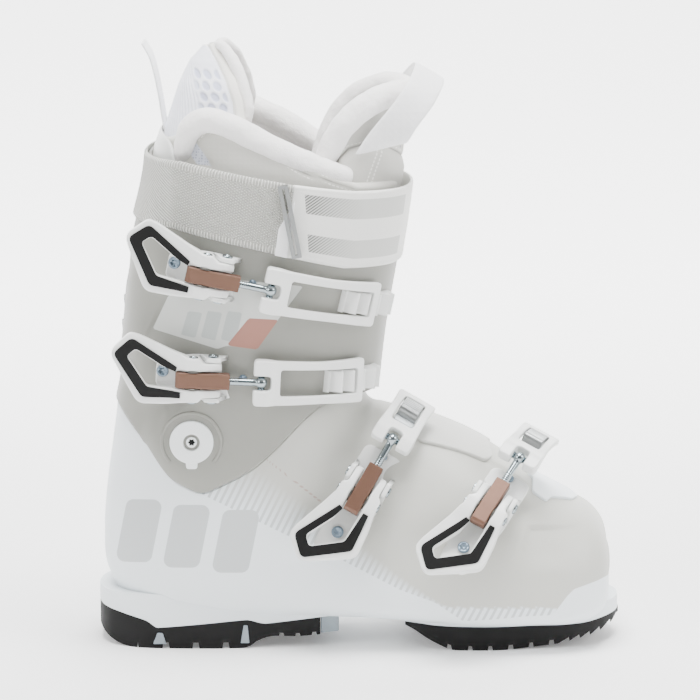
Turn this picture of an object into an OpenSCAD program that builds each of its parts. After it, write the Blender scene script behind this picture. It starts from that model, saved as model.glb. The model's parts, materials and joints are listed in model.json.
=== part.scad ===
// Alpine ski boot for the right foot: two-piece moulded shell on a pivot, four
// ratchet buckles, power strap, fleece-lined liner and bolt-on rockered soles.
// +X runs towards the toe, +Y towards the inner side of the foot, +Z is up.
// The origin is the middle of the heel sole's contact patch, and the cuff pivot
// stands straight above it. Millimetres.

/* [Shell] */
// Wall thickness of the lower shell
shell_wall = 4.2; // [3.8:0.1:4.6]
// Wall thickness of the cuff
cuff_wall = 3.0; // [2.6:0.1:3.2]
// Height of the cuff pivot above the sole
pivot_z = 123; // [122:0.5:124]
// Half width over the cuff's pivot bosses
pivot_half_w = 50.5; // [50:0.1:51]
/* [Sole] */
// Width of the toe and heel soles
sole_w = 69; // [67:0.5:71]
// Height of the join between the heel sole and the shell
heel_sole_h = 16; // [15:0.5:17]
// Height of the join between the toe sole and the shell
toe_sole_h = 13.6; // [13:0.2:14.4]
// Top of the binding lug at the heel
heel_lug_h = 31.5; // [30.5:0.5:32]
// Top of the binding lug at the toe
toe_lug_h = 24; // [23:0.5:25]
/* [Liner] */
// Thickness of the liner's foot and shaft walls
liner_wall = 7; // [5:0.5:8]
// Radius of the fleece collar roll
collar_r = 6.5; // [5:0.5:7]
/* [Buckles] */
// Distance from a lever's hinge pin to its barrel pin
barrel_throw = 11; // [10:0.5:12]
// Radius of the hinge and barrel pins
pin_r = 2; // [1.6:0.1:2.2]
// Radius of the threaded rod
rod_r = 1.9; // [1.5:0.1:2.2]
// Half width of a buckle frame
frame_half_w = 13; // [12:0.5:14]
/* [Strap] */
// Thickness of the power strap
strap_t = 2.2; // [1.6:0.1:2.6]

/* [Hidden] */

white = [0.88, 0.89, 0.89];
grey = [0.77, 0.77, 0.75];
soft_white = [0.92, 0.92, 0.93];
black = [0.13, 0.13, 0.13];
bronze = [0.50, 0.41, 0.34];
steel = [0.72, 0.74, 0.76];

run_gap = 0.06;        // radial clearance of every running fit
side_reach = 90;       // half length of a cut made right across the boot

// ---------------------------------------------------------------- smooth shapes

function between(p0, p1, p2, p3, f) =
    0.5 * (2 * p1 + (p2 - p0) * f + (2 * p0 - 5 * p1 + 4 * p2 - p3) * f * f
        + (3 * p1 - p0 - 3 * p2 + p3) * f * f * f);

// A row of a table at the fractional place t, smoothly between its neighbours.
function row_at(rows, t) =
    let (n = len(rows) - 1, i = min(floor(t), n - 1), p1 = rows[i], p2 = rows[i + 1])
    between(i > 0 ? rows[i - 1] : 2 * p1 - p2, p1, p2,
        i + 2 <= n ? rows[i + 2] : 2 * p2 - p1, t - i);

// A closed smooth outline through a few points.
function smooth(pts, steps = 4) =
    let (n = len(pts))
    [for (i = [0:n - 1], k = [0:steps - 1])
        between(pts[(i + n - 1) % n], pts[i], pts[(i + 1) % n], pts[(i + 2) % n], k / steps)];

function power(v, p) = sign(v) * pow(abs(v), p);

// Section ring of the lower shell. row = [crest x, crest z, keel x, keel z,
// half width, centre y, place of the widest point, fullness above, fullness below].
function shell_ring(row, inset, sides) =
    let (a = [row[0], row[1]], b = [row[2], row[3]], d = (b - a) / norm(b - a),
        a2 = a + d * inset, b2 = b - d * inset, w = row[4] - inset, m = row[6])
    [for (j = [0:sides - 1])
        let (c = cos(360 * j / sides), s = sin(360 * j / sides), p = 2 / (c > 0 ? row[7] : row[8]),
            f = c > 0 ? m * (1 - pow(c, p)) : m + (1 - m) * pow(-c, p), q = a2 + (b2 - a2) * f)
        [q[0], row[5] + w * power(s, p), q[1]]];

// Level section ring of the cuff. row = [z, rear x, front x, half width, fullness].
function level_ring(row, inset, sides) =
    let (cx = (row[1] + row[2]) / 2, rx = (row[2] - row[1]) / 2 - inset, p = 2 / row[4])
    [for (j = [0:sides - 1])
        [cx + rx * power(cos(360 * j / sides), p),
            (row[3] - inset) * power(sin(360 * j / sides), p), row[0]]];

// Rings joined into one closed solid: capped at both ends, or wrapped round into a tube.
module skin(rings, wrap = false) {
    n = len(rings[0]);
    last = len(rings) - 1;
    polyhedron(
        points = [for (ring = rings) each ring],
        faces = concat(
            [for (i = [0:wrap ? last : last - 1], j = [0:n - 1])
                each let (k = (j + 1) % n, p = i * n, q = (i + 1) % (last + 1) * n)
                [[p + j, q + j, q + k], [p + j, q + k, p + k]]],
            wrap ? [] : [[for (j = [0:n - 1]) j], [for (j = [n - 1:-1:0]) last * n + j]]));
}

function backwards(list) = [for (i = [len(list) - 1:-1:0]) list[i]];

function shell_rings(inset, first, last, per_row, sides, rows = shell_rows) =
    [for (t = [first:1 / per_row:last]) shell_ring(row_at(rows, t), inset, sides)];

// Solid inside the shell's surface, moved inwards by inset.
module shell_skin(inset, first, last, per_row = 1, sides = 24) {
    skin(shell_rings(inset, first, last, per_row, sides));
}

// Open-topped shell between two offsets of the surface, closed at the toe.
module shell_cup(outer, inner, first, inner_first, per_row = 1, sides = 24) {
    last = len(shell_rows) - 1;
    skin(concat(shell_rings(outer, first, last, per_row, sides),
        backwards(shell_rings(inner, inner_first, last, per_row, sides))));
}

// Band between two offsets of the surface, open at both ends.
module shell_tube(outer, inner, first, last, per_row = 2, sides = 24) {
    skin(concat(shell_rings(outer, first, last, per_row, sides),
        backwards(shell_rings(inner, first, last, per_row, sides))), true);
}

function level_rings(rows, inset, sides) = [for (r = rows) level_ring(r, inset, sides)];

module level_skin(rows, inset, sides = 32) {
    skin(level_rings(rows, inset, sides));
}

module level_tube(rows, outer, inner, sides = 32) {
    skin(concat(level_rings(rows, outer, sides), backwards(level_rings(rows, inner, sides))), true);
}

// Everything behind a side outline given in (x, z), right across the boot.
module side_cut(pts) {
    rotate([90, 0, 0]) linear_extrude(2 * side_reach, center = true) polygon(pts);
}

// ------------------------------------------------------------------- main forms

shell_rows = [
    [234, 52, 234, 36, 20, 6, 0.55, 2.2, 2.6],
    [231.5, 64, 233.5, 26, 34, 5, 0.55, 2.2, 3.2],
    [223.5, 74, 229, 18, 43, 4, 0.60, 2.2, 4.0],
    [210, 82, 214, 14, 50, 2, 0.64, 2.2, 5.0],
    [190, 93, 192, 14, 55, 1, 0.68, 2.2, 5.0],
    [161, 113, 160, 14, 56.5, 0, 0.70, 2.2, 5.0],
    [134, 125.5, 125, 15, 52, 0, 0.70, 2.2, 4.5],
    [116, 131, 88, 16, 46, 0, 0.66, 2.2, 4.5],
    [104, 134.5, 48, 16, 42, 0, 0.62, 2.2, 4.5],
    [99, 137, 5, 16, 42, 0, 0.50, 2.2, 4.0],
    [97, 139.5, -32, 20, 43.5, 0, 0.42, 2.2, 3.0],
    [96, 142, -49, 40, 44.5, 0, 0.38, 2.2, 2.6],
    [95.5, 144, -49, 64, 45, 0, 0.38, 2.2, 2.4],
    [95, 146, -44, 90, 45.5, 0, 0.40, 2.2, 2.3],
    [94.3, 148, -39.5, 115, 45.6, 0, 0.45, 2.2, 2.2],
    [93.8, 151, -37, 134, 45.6, 0, 0.50, 2.2, 2.2],
    [93.5, 158, -35, 147, 45.6, 0, 0.50, 2.2, 2.2]];

// The heel outside the cuff's reach, flush with the cuff's surface above it.
shroud_rows = [
    [98, 138, -14, 17, 42.5, 0, 0.46, 2.2, 3.5],
    [97, 139.5, -33, 20, 43.5, 0, 0.42, 2.2, 3.0],
    [96, 142, -49, 40, 44.5, 0, 0.38, 2.2, 2.6],
    [95.5, 144, -51.2, 64, 45.5, 0, 0.38, 2.2, 2.4],
    [95, 146, -49.3, 90, 46.2, 0, 0.40, 2.2, 2.3],
    [94.7, 148, -45.8, 115, 46.6, 0, 0.45, 2.2, 2.3],
    [94.5, 150, -42.6, 140, 46.6, 0, 0.50, 2.2, 2.3]];
shroud_side = [[-60, 17], [-60, 137.4], [-43.6, 137.4], [-35, 126.6], [-26.4, 115.6], [-16, 101],
    [-9, 94.5], [-4, 84], [-2, 60], [-14, 17]];

cuff_rows = [
    [88, -45, 92, 47.5, 2.4],
    [110, -45, 98, 50, 2.4],
    [139, -42.7, 103.5, 51.3, 2.4],
    [182, -38.3, 108.5, 53, 2.45],
    [228, -34.5, 116, 54.3, 2.5],
    [262, -30.3, 121, 54.8, 2.5],
    [292, -26.5, 126, 54.5, 2.5]];

cuff_side = [[-60, 139], [-42, 139], [-33, 129], [-24, 118], [-12.5, 102], [-0.6, 95], [6, 94],
    [14, 97], [33, 107.5], [48, 121], [62, 135.5], [74, 143.5], [90, 147], [130, 147],
    [130, 238], [96, 238], [70, 246], [40, 262], [10, 274], [-14, 283], [-60, 283]];

// The liner's shaft slides down inside the lower shell's rim, so it widens above it.
shaft_rows = [
    [130, -26, 74, 36, 2.3],
    [150, -26.5, 78, 38, 2.3],
    [175, -27, 83, 39.5, 2.3],
    [193, -32.5, 98, 46.5, 2.4],
    [228, -30.5, 110, 49, 2.4],
    [262, -26, 115, 49.5, 2.4],
    [300, -16, 119, 46, 2.4]];

shaft_side = [[-60, 120], [110, 120], [130, 262], [92, 262], [77, 268], [60, 275], [43, 284],
    [23, 293], [6, 299], [-8, 293], [-16, 284], [-60, 284]];

// Sole outlines seen from above, for the heel and the toe.
heel_lip = 21.6;       // height of the heel sole's raised rear edge
heel_plan = [[84, 31], [40, 32.5], [0, sole_w / 2], [-30, 33], [-48, 22], [-54.5, 0],
    [-48, -22], [-30, -33], [0, -sole_w / 2], [40, -32.5], [84, -31]];
toe_plan = smooth([[118, 38], [150, 41], [185, sole_w / 2 + 4], [215, sole_w / 2 + 1],
    [233, 22], [240.5, 4], [235, -14], [218, -sole_w / 2 + 4], [188, -sole_w / 2 - 1],
    [150, -38.5], [118, -34], [112, 2]]);

// ---------------------------------------------------------------- shell and sole

module lower_shell() color(white) {
    difference() {
        union() {
            shell_cup(0, shell_wall, 0, 1);
            heel_shroud();
            // heel platform with its binding lug, and the toe platform with its lug
            intersection() {
                linear_extrude(heel_lug_h) polygon(heel_plan);
                side_cut([[-60, heel_lip], [-38, heel_lip], [-38, heel_sole_h],
                    [84, heel_sole_h], [84, 24], [60, heel_lug_h], [-60, heel_lug_h]]);
            }
            translate([0, 0, toe_sole_h]) linear_extrude(toe_lug_h - toe_sole_h) polygon(toe_plan);
            arch_bridge();
        }
        pivot_bores(pivot_stud_r);
        sole_screw_places() cylinder(r = sole_screw_r, h = 40, center = true, $fn = 24);
    }
}

module heel_shroud() {
    intersection() {
        skin(concat(shell_rings(0, 0, 6, 1, 24, shroud_rows),
            backwards(shell_rings(4.5, 0, 6, 1, 24, shroud_rows))), true);
        side_cut(shroud_side);
    }
}

module arch_bridge() {
    intersection() {
        side_cut([[60, 17], [104, 18], [124, toe_sole_h], [124, 24], [60, 24]]);
        cube([400, 62, 200], center = true);
    }
}

module instep_flap() color(white) {
    // moulded cover strip along the shell's overlap, between the two foot buckles
    intersection() {
        shell_tube(-1.8, 0.1, 4, 8);
        translate([151, -8, 121]) rotate([0, 24, 0]) cube([38, 48, 26], center = true);
    }
}

module toe_guard() color(white) {
    intersection() {
        shell_tube(-2.2, 0.1, 2, 5);
        translate([0, 0, 70]) linear_extrude(60) polygon([[184, -22], [190, -30], [199, -26],
            [212, -24], [212, 26], [199, 30], [186, 26], [181, 0]]);
    }
}

module bootboard() color(grey) {
    // foot-shaped insert that levels the inside of the shell
    intersection() {
        shell_skin(shell_wall + 0.4, 1, 12);
        side_cut([[-60, 31.8], [60, 31.8], [84, 24.3], [236, 24.3], [236, 26], [120, 30],
            [60, 37], [-60, 39]]);
    }
}

// The heel sole in side view: bevelled at the rear, stepped up in front of the contact patch.
heel_profile = [[-60, 10], [-50, 5], [-36, 0], [25, 0], [28, 6], [32, 6], [34, 3.5], [66, 6],
    [71, 9], [71, heel_sole_h], [-38, heel_sole_h], [-38, heel_lip], [-60, heel_lip]];

module heel_sole() color(black) {
    difference() {
        intersection() {
            translate([0, 0, -1]) linear_extrude(30) polygon(heel_plan);
            side_cut(heel_profile);
        }
        for (x = [-24, -6, 12, 46, 58]) tread_slot(x, 34);
        sole_screw_places() {
            cylinder(r = sole_screw_r, h = 60, center = true, $fn = 24);
            translate([0, 0, -1]) cylinder(r = sole_head_r, h = 9.2, $fn = 24);
        }
    }
}

// A tread groove open to the outer edges, on both sides of the sole.
module tread_slot(x, reach) {
    for (side = [-1, 1]) translate([x, side * (reach - 6), 2.2]) cube([3.4, 18, 9], center = true);
}

toe_profile = [[119, 13.6], [120, 10.5], [131, 3.4], [143, 0], [173, 0], [205, 2.2], [228, 6],
    [238, 9], [242, 11], [242, 13.6]];

module toe_sole() color(black) {
    difference() {
        intersection() {
            translate([0, 0, -1]) linear_extrude(20) polygon(toe_plan);
            side_cut(toe_profile);
        }
        for (x = [136, 148, 160, 172, 184, 196, 207, 217, 226]) tread_slot(x, 40 - (x - 160) * 0.1);
        sole_screw_places() {
            cylinder(r = sole_screw_r, h = 60, center = true, $fn = 24);
            translate([0, 0, -1]) cylinder(r = sole_head_r, h = 9.2, $fn = 24);
        }
    }
}

module heel_spacer() color([0.60, 0.64, 0.66]) {
    translate([71.2, -28, 7]) cube([11.8, 56, 8.9]);
}

sole_screw_r = 2.1;
sole_head_r = 4.2;
module sole_screw_places() {
    for (p = [[-14, -18], [-14, 18], [52, 0], [140, -18], [140, 20], [205, -14], [205, 22]])
        translate([p[0], p[1], 0]) children();
}

module sole_screws() color(steel) {
    sole_screw_places() difference() {
        union() {
            translate([0, 0, 6.1]) cylinder(r = sole_head_r - 0.2, h = 2, $fn = 24);
            translate([0, 0, 6.1]) cylinder(r = sole_screw_r - 0.1, h = 11, $fn = 24);
        }
        translate([0, 0, 6]) cylinder(r = 1.7, h = 1.2, $fn = 6);
    }
}

// ------------------------------------------------------------------ cuff and pivot

boss_r = 18;
boss_floor = 47.2;     // inner face of the cuff's bosses, out from the middle plane
disc_r = 12.1;
flange_r = 13.6;
pivot_stud_r = 4;

module on_pivot_axis(side) {
    translate([0, 0, pivot_z]) rotate([side * 90, 0, 0]) children();
}

module pivot_bores(r) {
    for (side = [-1, 1]) on_pivot_axis(side) translate([0, 0, 30])
        cylinder(r = r, h = 40, $fn = 48);
}

module cuff() color(grey) {
    difference() {
        union() {
            intersection() {
                level_tube(cuff_rows, 0, cuff_wall);
                side_cut(cuff_side);
            }
            // flat bosses that carry the pivot discs
            for (side = [-1, 1]) on_pivot_axis(side) translate([0, 0, boss_floor])
                cylinder(r = boss_r, h = pivot_half_w - boss_floor, $fn = 64);
        }
        pivot_bores(disc_r + run_gap);
        for (side = [-1, 1]) on_pivot_axis(side) translate([0, 0, pivot_half_w - 1])
            cylinder(r = flange_r + 0.3, h = 10, $fn = 64);
    }
}

// Bearing disc with a flange outside and a shaped key recess.
module pivot_disc(side) {
    on_pivot_axis(side) difference() {
        union() {
            translate([0, 0, 47.4]) cylinder(r = disc_r, h = pivot_half_w - 47.4, $fn = 64);
            translate([0, 0, pivot_half_w - 0.7]) cylinder(r = flange_r, h = 1.2, $fn = 64);
        }
        translate([0, 0, 40]) cylinder(r = pivot_stud_r + run_gap, h = 20, $fn = 48);
    }
}

module pivot_disc_lateral() color(white) pivot_disc(1);
module pivot_disc_medial() color(white) pivot_disc(-1);

module pivot_screws() color(steel) {
    for (side = [-1, 1]) on_pivot_axis(side) difference() {
        translate([0, 0, 41]) cylinder(r = pivot_stud_r, h = pivot_half_w + 0.3 - 41, $fn = 48);
        translate([0, 0, pivot_half_w - 2]) cylinder(r = 2.4, h = 4, $fn = 6);
    }
}

module pivot_nuts() color(steel) {
    for (side = [-1, 1]) on_pivot_axis(side) difference() {
        translate([0, 0, 38.2]) cylinder(r = 8, h = 2.2, $fn = 48);
        translate([0, 0, 37]) cylinder(r = pivot_stud_r, h = 5, $fn = 48);
    }
}

function rows_above(rows, z) = [for (r = rows) if (r[0] > z) r];

module cuff_spoiler() color(soft_white) {
    intersection() {
        level_tube(rows_above(cuff_rows, 200), cuff_wall + 0.4, cuff_wall + 2.6);
        side_cut([[-60, 258], [-6, 258], [-6, 276], [-14, 288], [-24, 291.5], [-60, 291.5]]);
    }
}

module spine_screws() color(steel) {
    for (z = [179, 193]) translate([rear_x(z) + 1, 0, z]) rotate([0, -90 - 6, 0]) difference() {
        cylinder(r = 4, h = 2.4, $fn = 32);
        translate([0, 0, 1.2]) cylinder(r = 1.8, h = 3, $fn = 6);
    }
}
function rear_x(z) = -38.3 + (z - 182) * 0.083;

// ---------------------------------------------------------------------- strap

strap_gap = 0.3;
module strap_band() {
    level_tube(rows_above(cuff_rows, 180), -strap_gap - strap_t, -strap_gap);
}

module strap_rear() color(grey) {
    intersection() {
        strap_band();
        side_cut([[-60, 244], [-10, 243], [57, 228.5], [49, 269.5], [-10, 280], [-60, 279]]);
    }
}

module strap_front() color(soft_white) {
    intersection() {
        strap_band();
        side_cut([[60.5, 227.5], [90, 221], [130, 219], [130, 262], [90, 264], [52.5, 269]]);
    }
}

module strap_slider() color(steel) {
    // flat bar loop that joins both straps on the outer side
    translate([54.9, -60.2, 249]) rotate([0, -11, 0]) difference() {
        cube([5.6, 3.4, 41], center = true);
        cube([1.4, 6, 37.5], center = true);
    }
}

module cuff_rivets() color([0.45, 0.55, 0.62]) {
    for (side = [-1, 1], z = [252, 270])
        translate([-10, side * 48.9, z + 0.5]) rotate([side * -90, 0, side * 38])
            cylinder(r = 3.2, h = 1.4, $fn = 24);
    base_rivets([1, 2]);
}

// ---------------------------------------------------------------------- liner

liner_gap = 0.5;
foot_floor = [[236, 27], [120, 31], [60, 38], [-70, 40]];     // underside of the liner's foot
function raised(line, h) = [for (p = line) p + [0, h]];

module liner_foot() color(soft_white) {
    intersection() {
        shell_cup(shell_wall + liner_gap, shell_wall + liner_gap + liner_wall - 1.5, 1, 2);
        side_cut(concat(foot_floor, [[-70, 123.5], [0, 123.5], [100, 112], [240, 110]]));
    }
}

// Moulded insole that closes the liner's foot
module footbed() color([0.8, 0.8, 0.82]) {
    intersection() {
        shell_skin(shell_wall + liner_gap + liner_wall - 1.2, 2, 12);
        side_cut(concat(raised(foot_floor, 0.2), backwards(raised(foot_floor, 5))));
    }
}

module liner_shaft() color(soft_white) {
    intersection() {
        level_tube(shaft_rows, 0, liner_wall);
        side_cut(shaft_side);
    }
}

// Rows of the tongue: [z, inner x, outer x, half width, fullness].
tongue_rows = [
    [136, 55, 66, 24, 2.6],
    [175, 62, 74, 28, 2.6],
    [205, 80, 92, 31, 2.6],
    [240, 90, 102, 33, 2.6],
    [266, 96, 108, 34, 2.6],
    [284, 104, 119, 33, 2.6],
    [298, 111, 125, 26, 2.4],
    [306, 116, 126.5, 14, 2.2]];
module liner_tongue() color(grey) level_skin(tongue_rows, 0, 28);

calf_rows = [
    [262, -19, 72, 41, 2.2],
    [286, -17, 62, 38, 2.2],
    [303, -12, 54, 34, 2.2],
    [318, -7, 45, 28, 2.2],
    [330, -1, 36, 20, 2.2],
    [338, 6, 28, 10, 2.2]];
module calf_pad() color(soft_white) {
    intersection() {
        level_tube(calf_rows, 0, 5, 28);
        side_cut([[-40, 262], [30, 262], [32, 300], [26, 322], [17, 340], [-40, 340]]);
    }
}

collar_route = [[-10, -31, 289], [-4, -36, 297], [7, -40, 302], [23, -43, 297], [43, -45, 288],
    [60, -44, 279], [77, -40, 272], [92, -30, 266]];

function ring_across(route, i, r, sides) =
    let (n = len(route) - 1, d = route[min(i + 1, n)] - route[max(i - 1, 0)], t = d / norm(d),
        side = cross(t, [0, 0, 1]) / norm(cross(t, [0, 0, 1])), up = cross(side, t))
    [for (j = [0:sides - 1]) route[i] + r * (cos(360 * j / sides) * side
        + sin(360 * j / sides) * up)];

module liner_collar() color(soft_white) {
    for (side = [0, 1]) mirror([0, side, 0]) {
        skin(backwards([for (i = [0:len(collar_route) - 1]) ring_across(collar_route, i,
            collar_r * (i == 0 || i == len(collar_route) - 1 ? 0.6 : 1), 12)]));
    }
}

// ------------------------------------------------------------------- pull loops

// A webbing loop drawn upwards in its own plane, then extruded across its width.
module loop_band(foot, tip_r, length, t, width) {
    linear_extrude(width, center = true) difference() {
        loop_outline(foot + t, tip_r + t, length + t);
        loop_outline(foot, tip_r, length);
        translate([-50, -20]) square([100, 20]);
    }
}
module loop_outline(foot, tip_r, length) {
    translate([0, length - tip_r]) circle(r = tip_r, $fn = 48);
    polygon([[-foot, -1], [foot, -1], [tip_r, length - tip_r], [-tip_r, length - tip_r]]);
}

heel_loop_base = [-21.5, 0, 294];
module heel_pull_loop() color(soft_white) {
    translate(heel_loop_base) rotate([0, -9, 0]) rotate([90, 0, 0])
        loop_band(1.2, 3.2, 46, 1.4, 20);
}

tongue_loop_base = [108, 0, 283];
module tongue_pull_loop() color(soft_white) {
    translate(tongue_loop_base) rotate([0, 36, 0]) rotate([90, 0, 90])
        loop_band(40, 26, 46, 1.8, 19);
}

// ---------------------------------------------------------------------- buckles
// Each buckle is drawn in its own frame at its lever's hinge pin: X runs from the
// lever towards the rack, -Y points away from the shell and Z lies along the pins.
// Each row: [hinge pin position, roll, pitch, yaw, frame bend radius, bend angle, nose tilt,
// depth of the rack's foot, height of its teeth].
buckles = [
    [[18, -60, 217], 0, -12.5, 3, 94, 40, 0, 4, 5.2],
    [[12, -58.2, 160.5], 0, -3, 3, 92, 38, 0, 4, 5.2],
    [[98, -45.4, 99.5], 22, 60, 0, 34, 54, 12, 9, 3.7],
    [[168.3, -50.5, 91], 38, 59, 0, 32, 54, 14, 9, 3.8]];

module at_buckle(i) {
    b = buckles[i - 1];
    translate(b[0]) rotate([-b[1], 0, 0]) rotate([0, -b[2], 0]) rotate([0, 0, b[3]]) children();
}

barrel_w = 4;                 // how far the barrel pin stands outside the hinge pin
barrel_half = 4.4;
arm_in = 5.2;
arm_out = 9.4;
ear_in = 9.8;
ear_out = 12.6;
rod_reach = 26.8;             // from the hinge pin to the frame's pin
window = [[-47.5, 10.5], [-43, 15], [-27, 5], [-26, -4.5], [-36, -4.8]];

module across_pins(half, center_z = 0) {
    translate([0, 0, center_z]) linear_extrude(2 * half, center = true) children();
}
module facing_out(low, high) {
    translate([0, -low, 0]) rotate([90, 0, 0]) linear_extrude(high - low) children();
}

module base(i) color(white) at_buckle(i) difference() {
    union() {
        facing_out(-8.2, -5) polygon([[-31, -5], [-27, -8], [-8, -12.6], [18, -12], [21, -8],
            [21, 8], [18, 12], [-8, 12.6], [-27, 10], [-31, 7]]);
        for (side = [-1, 1]) translate([0, 0, side * (ear_in + ear_out) / 2])
            linear_extrude(ear_out - ear_in, center = true) {
                circle(r = 4.4, $fn = 40);
                translate([-5.5, 0]) square([11, 7]);
            }
    }
    translate([0, 0, -20]) cylinder(r = pin_r + run_gap, h = 40, $fn = 40);
}

lever_outline = [[-56.5, 11.5], [-46, 23.5], [-21, 15.8], [-12, 11], [-4, arm_out], [4.5, arm_out],
    [4.5, -arm_out], [-4, -arm_out], [-12, -11], [-20, -14], [-39.5, -15]];

module lever(i) color(white) at_buckle(i) difference() {
    intersection() {
        facing_out(-12, 9) polygon(lever_outline);
        across_pins(30) polygon([[4, 3], [4, -3], [1, -5.4], [-8, -7.6], [-15, -7.4], [-22, -3.5],
            [-58, 5.4], [-58, 8.8], [-22, 1.2], [-14, 1.5], [-4, 4]]);
    }
    // slot for the barrel between the arms
    translate([-21.6, -20, -arm_in]) cube([40, 40, 2 * arm_in]);
    facing_out(-12, 12) polygon(window);
    translate([0, 0, -20]) cylinder(r = pin_r, h = 40, $fn = 40);
    translate([-barrel_throw, -barrel_w, -20]) cylinder(r = pin_r, h = 40, $fn = 40);
}

module insert(i) color(black) at_buckle(i) difference() {
    intersection() {
        facing_out(-12, 8) polygon([[-55, 11.5], [-45.5, 21], [-23, 7], [-22.4, -8], [-38, -10.5]]);
        across_pins(30) polygon([[-58, 5.4], [-22, -3.5], [-22, -4.5], [-58, 4.4]]);
    }
    facing_out(-12, 12) polygon(window);
}

module pins(i) color(steel) at_buckle(i) {
    for (side = [-1, 1]) translate([0, 0, side * (arm_in + ear_out + 0.4) / 2])
        cylinder(r = pin_r, h = ear_out + 0.4 - arm_in, center = true, $fn = 40);
    translate([-barrel_throw, -barrel_w, 0]) cylinder(r = pin_r, h = 22, center = true, $fn = 40);
}

module barrel(i) color(bronze) at_buckle(i) translate([-barrel_throw, -barrel_w, 0]) difference() {
    across_pins(barrel_half) polygon([[-9.4, -2], [-8, -3.4], [19.4, -3.4], [20.4, -2.4],
        [20.4, 2.4], [19.4, 3.4], [-8, 3.4], [-9.4, 2]]);
    cylinder(r = pin_r + run_gap, h = 20, center = true, $fn = 40);
    translate([8, 0, 0]) rotate([0, 90, 0]) cylinder(r = rod_r, h = 20, $fn = 32);
}

module rod(i) color(steel) at_buckle(i) translate([0, -barrel_w, 0]) {
    translate([-2, 0, 0]) rotate([0, 90, 0]) cylinder(r = rod_r, h = rod_reach + 2, $fn = 32);
    translate([rod_reach, 0, 0]) cylinder(r = 2.6, h = 15, center = true, $fn = 40);
}

// The frame's nose turns on the rod's cross pin, and the rest bends round the shell.
module at_nose(i) {
    at_buckle(i) translate([rod_reach, -barrel_w, 0]) rotate([0, 0, buckles[i - 1][6]]) children();
}

module frame(i) color(white) at_nose(i) {
    radius = buckles[i - 1][4];
    bend = buckles[i - 1][5];
    arc_in = radius - 1.6;
    arc_out = radius + 1.6;
    difference() {
        across_pins(frame_half_w) {
            circle(r = 4.2, $fn = 40);
            intersection() {
                translate([0, radius]) difference() {
                    circle(r = arc_out, $fn = 160);
                    circle(r = arc_in, $fn = 160);
                }
                polygon([[0, -10], [0, radius], radius * 1.2 * [sin(bend), 0]
                    + [0, radius - radius * 1.2 * cos(bend)], [radius * 0.8, -10]]);
            }
        }
        cylinder(r = 2.6 + run_gap, h = 40, center = true, $fn = 40);
        // gap between the nose's two ears, for the rod
        translate([-8, -10, -3.4]) cube([16, 20, 6.8]);
        // window for the rack
        frame_window(radius, bend);
    }
}

module frame_window(radius, bend) {
    start = 10 / radius * 57.3;
    stop = bend - crossbar / radius * 57.3;
    translate([0, radius, 0]) linear_extrude(2 * window_half, center = true)
        polygon([[0, 0], radius * 1.3 * [sin(start), -cos(start)],
            radius * 1.3 * [sin((start + stop) / 2), -cos((start + stop) / 2)],
            radius * 1.3 * [sin(stop), -cos(stop)]]);
}
window_half = 7;
crossbar = 4.4;               // length of the frame's crossbar, along the frame

// Toothed rack under the frame's far end, on the same bend, tooth_pitch apart.
tooth_pitch = 9;
rack_drop = 3.4;              // from the frame's middle surface down to the rack's floor
rack_half = 6.2;
module rack(i) color(i < 3 ? white : steel) at_nose(i) {
    radius = buckles[i - 1][4];
    pitch = tooth_pitch / radius * 57.3;
    hook = buckles[i - 1][5] - crossbar / 2 / radius * 57.3;     // middle of the crossbar
    translate([0, radius, 0]) for (k = [i < 3 ? -2 : -1:i < 3 ? 1 : 0])
        rotate([0, 0, hook + pitch * (k + 0.5)]) translate([0, rack_drop - radius, 0])
            rack_tooth(buckles[i - 1][7], buckles[i - 1][8]);
}

module rack_tooth(foot, height) {
    end = tooth_pitch / 2 + 0.2;
    across_pins(rack_half)
        polygon([[-end, foot], [end, foot], [end, 0.4], [0.9, 0], [1.1, -height], [-0.9, -height],
            [-2.2, 0], [-end, 0.4]]);
}

module base_rivets(list) {
    for (i = list) at_buckle(i) for (p = [[-24, 2.5], [15, 0]])
        translate([p[0], 5, p[1]]) rotate([90, 0, 0]) cylinder(r = 2.5, h = 1, $fn = 32);
}

module shell_rivets() color([0.45, 0.55, 0.62]) base_rivets([3, 4]);

lower_shell();
instep_flap();
toe_guard();
bootboard();
heel_sole();
toe_sole();
heel_spacer();
sole_screws();
cuff();
cuff_spoiler();
spine_screws();
pivot_disc_lateral();
pivot_disc_medial();
pivot_screws();
pivot_nuts();
strap_rear();
strap_front();
strap_slider();
cuff_rivets();
liner_foot();
liner_shaft();
liner_tongue();
liner_collar();
calf_pad();
footbed();
heel_pull_loop();
tongue_pull_loop();
shell_rivets();
for (i = [1:4]) {
    base(i);
    lever(i);
    insert(i);
    pins(i);
    barrel(i);
    rod(i);
    frame(i);
    rack(i);
}
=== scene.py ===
"""Looks for the alpine ski boot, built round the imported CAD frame. Local sizes are millimetres."""
import json
import math
import bmesh
import bpy
import numpy as np
from mathutils import Matrix, Vector, noise

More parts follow.
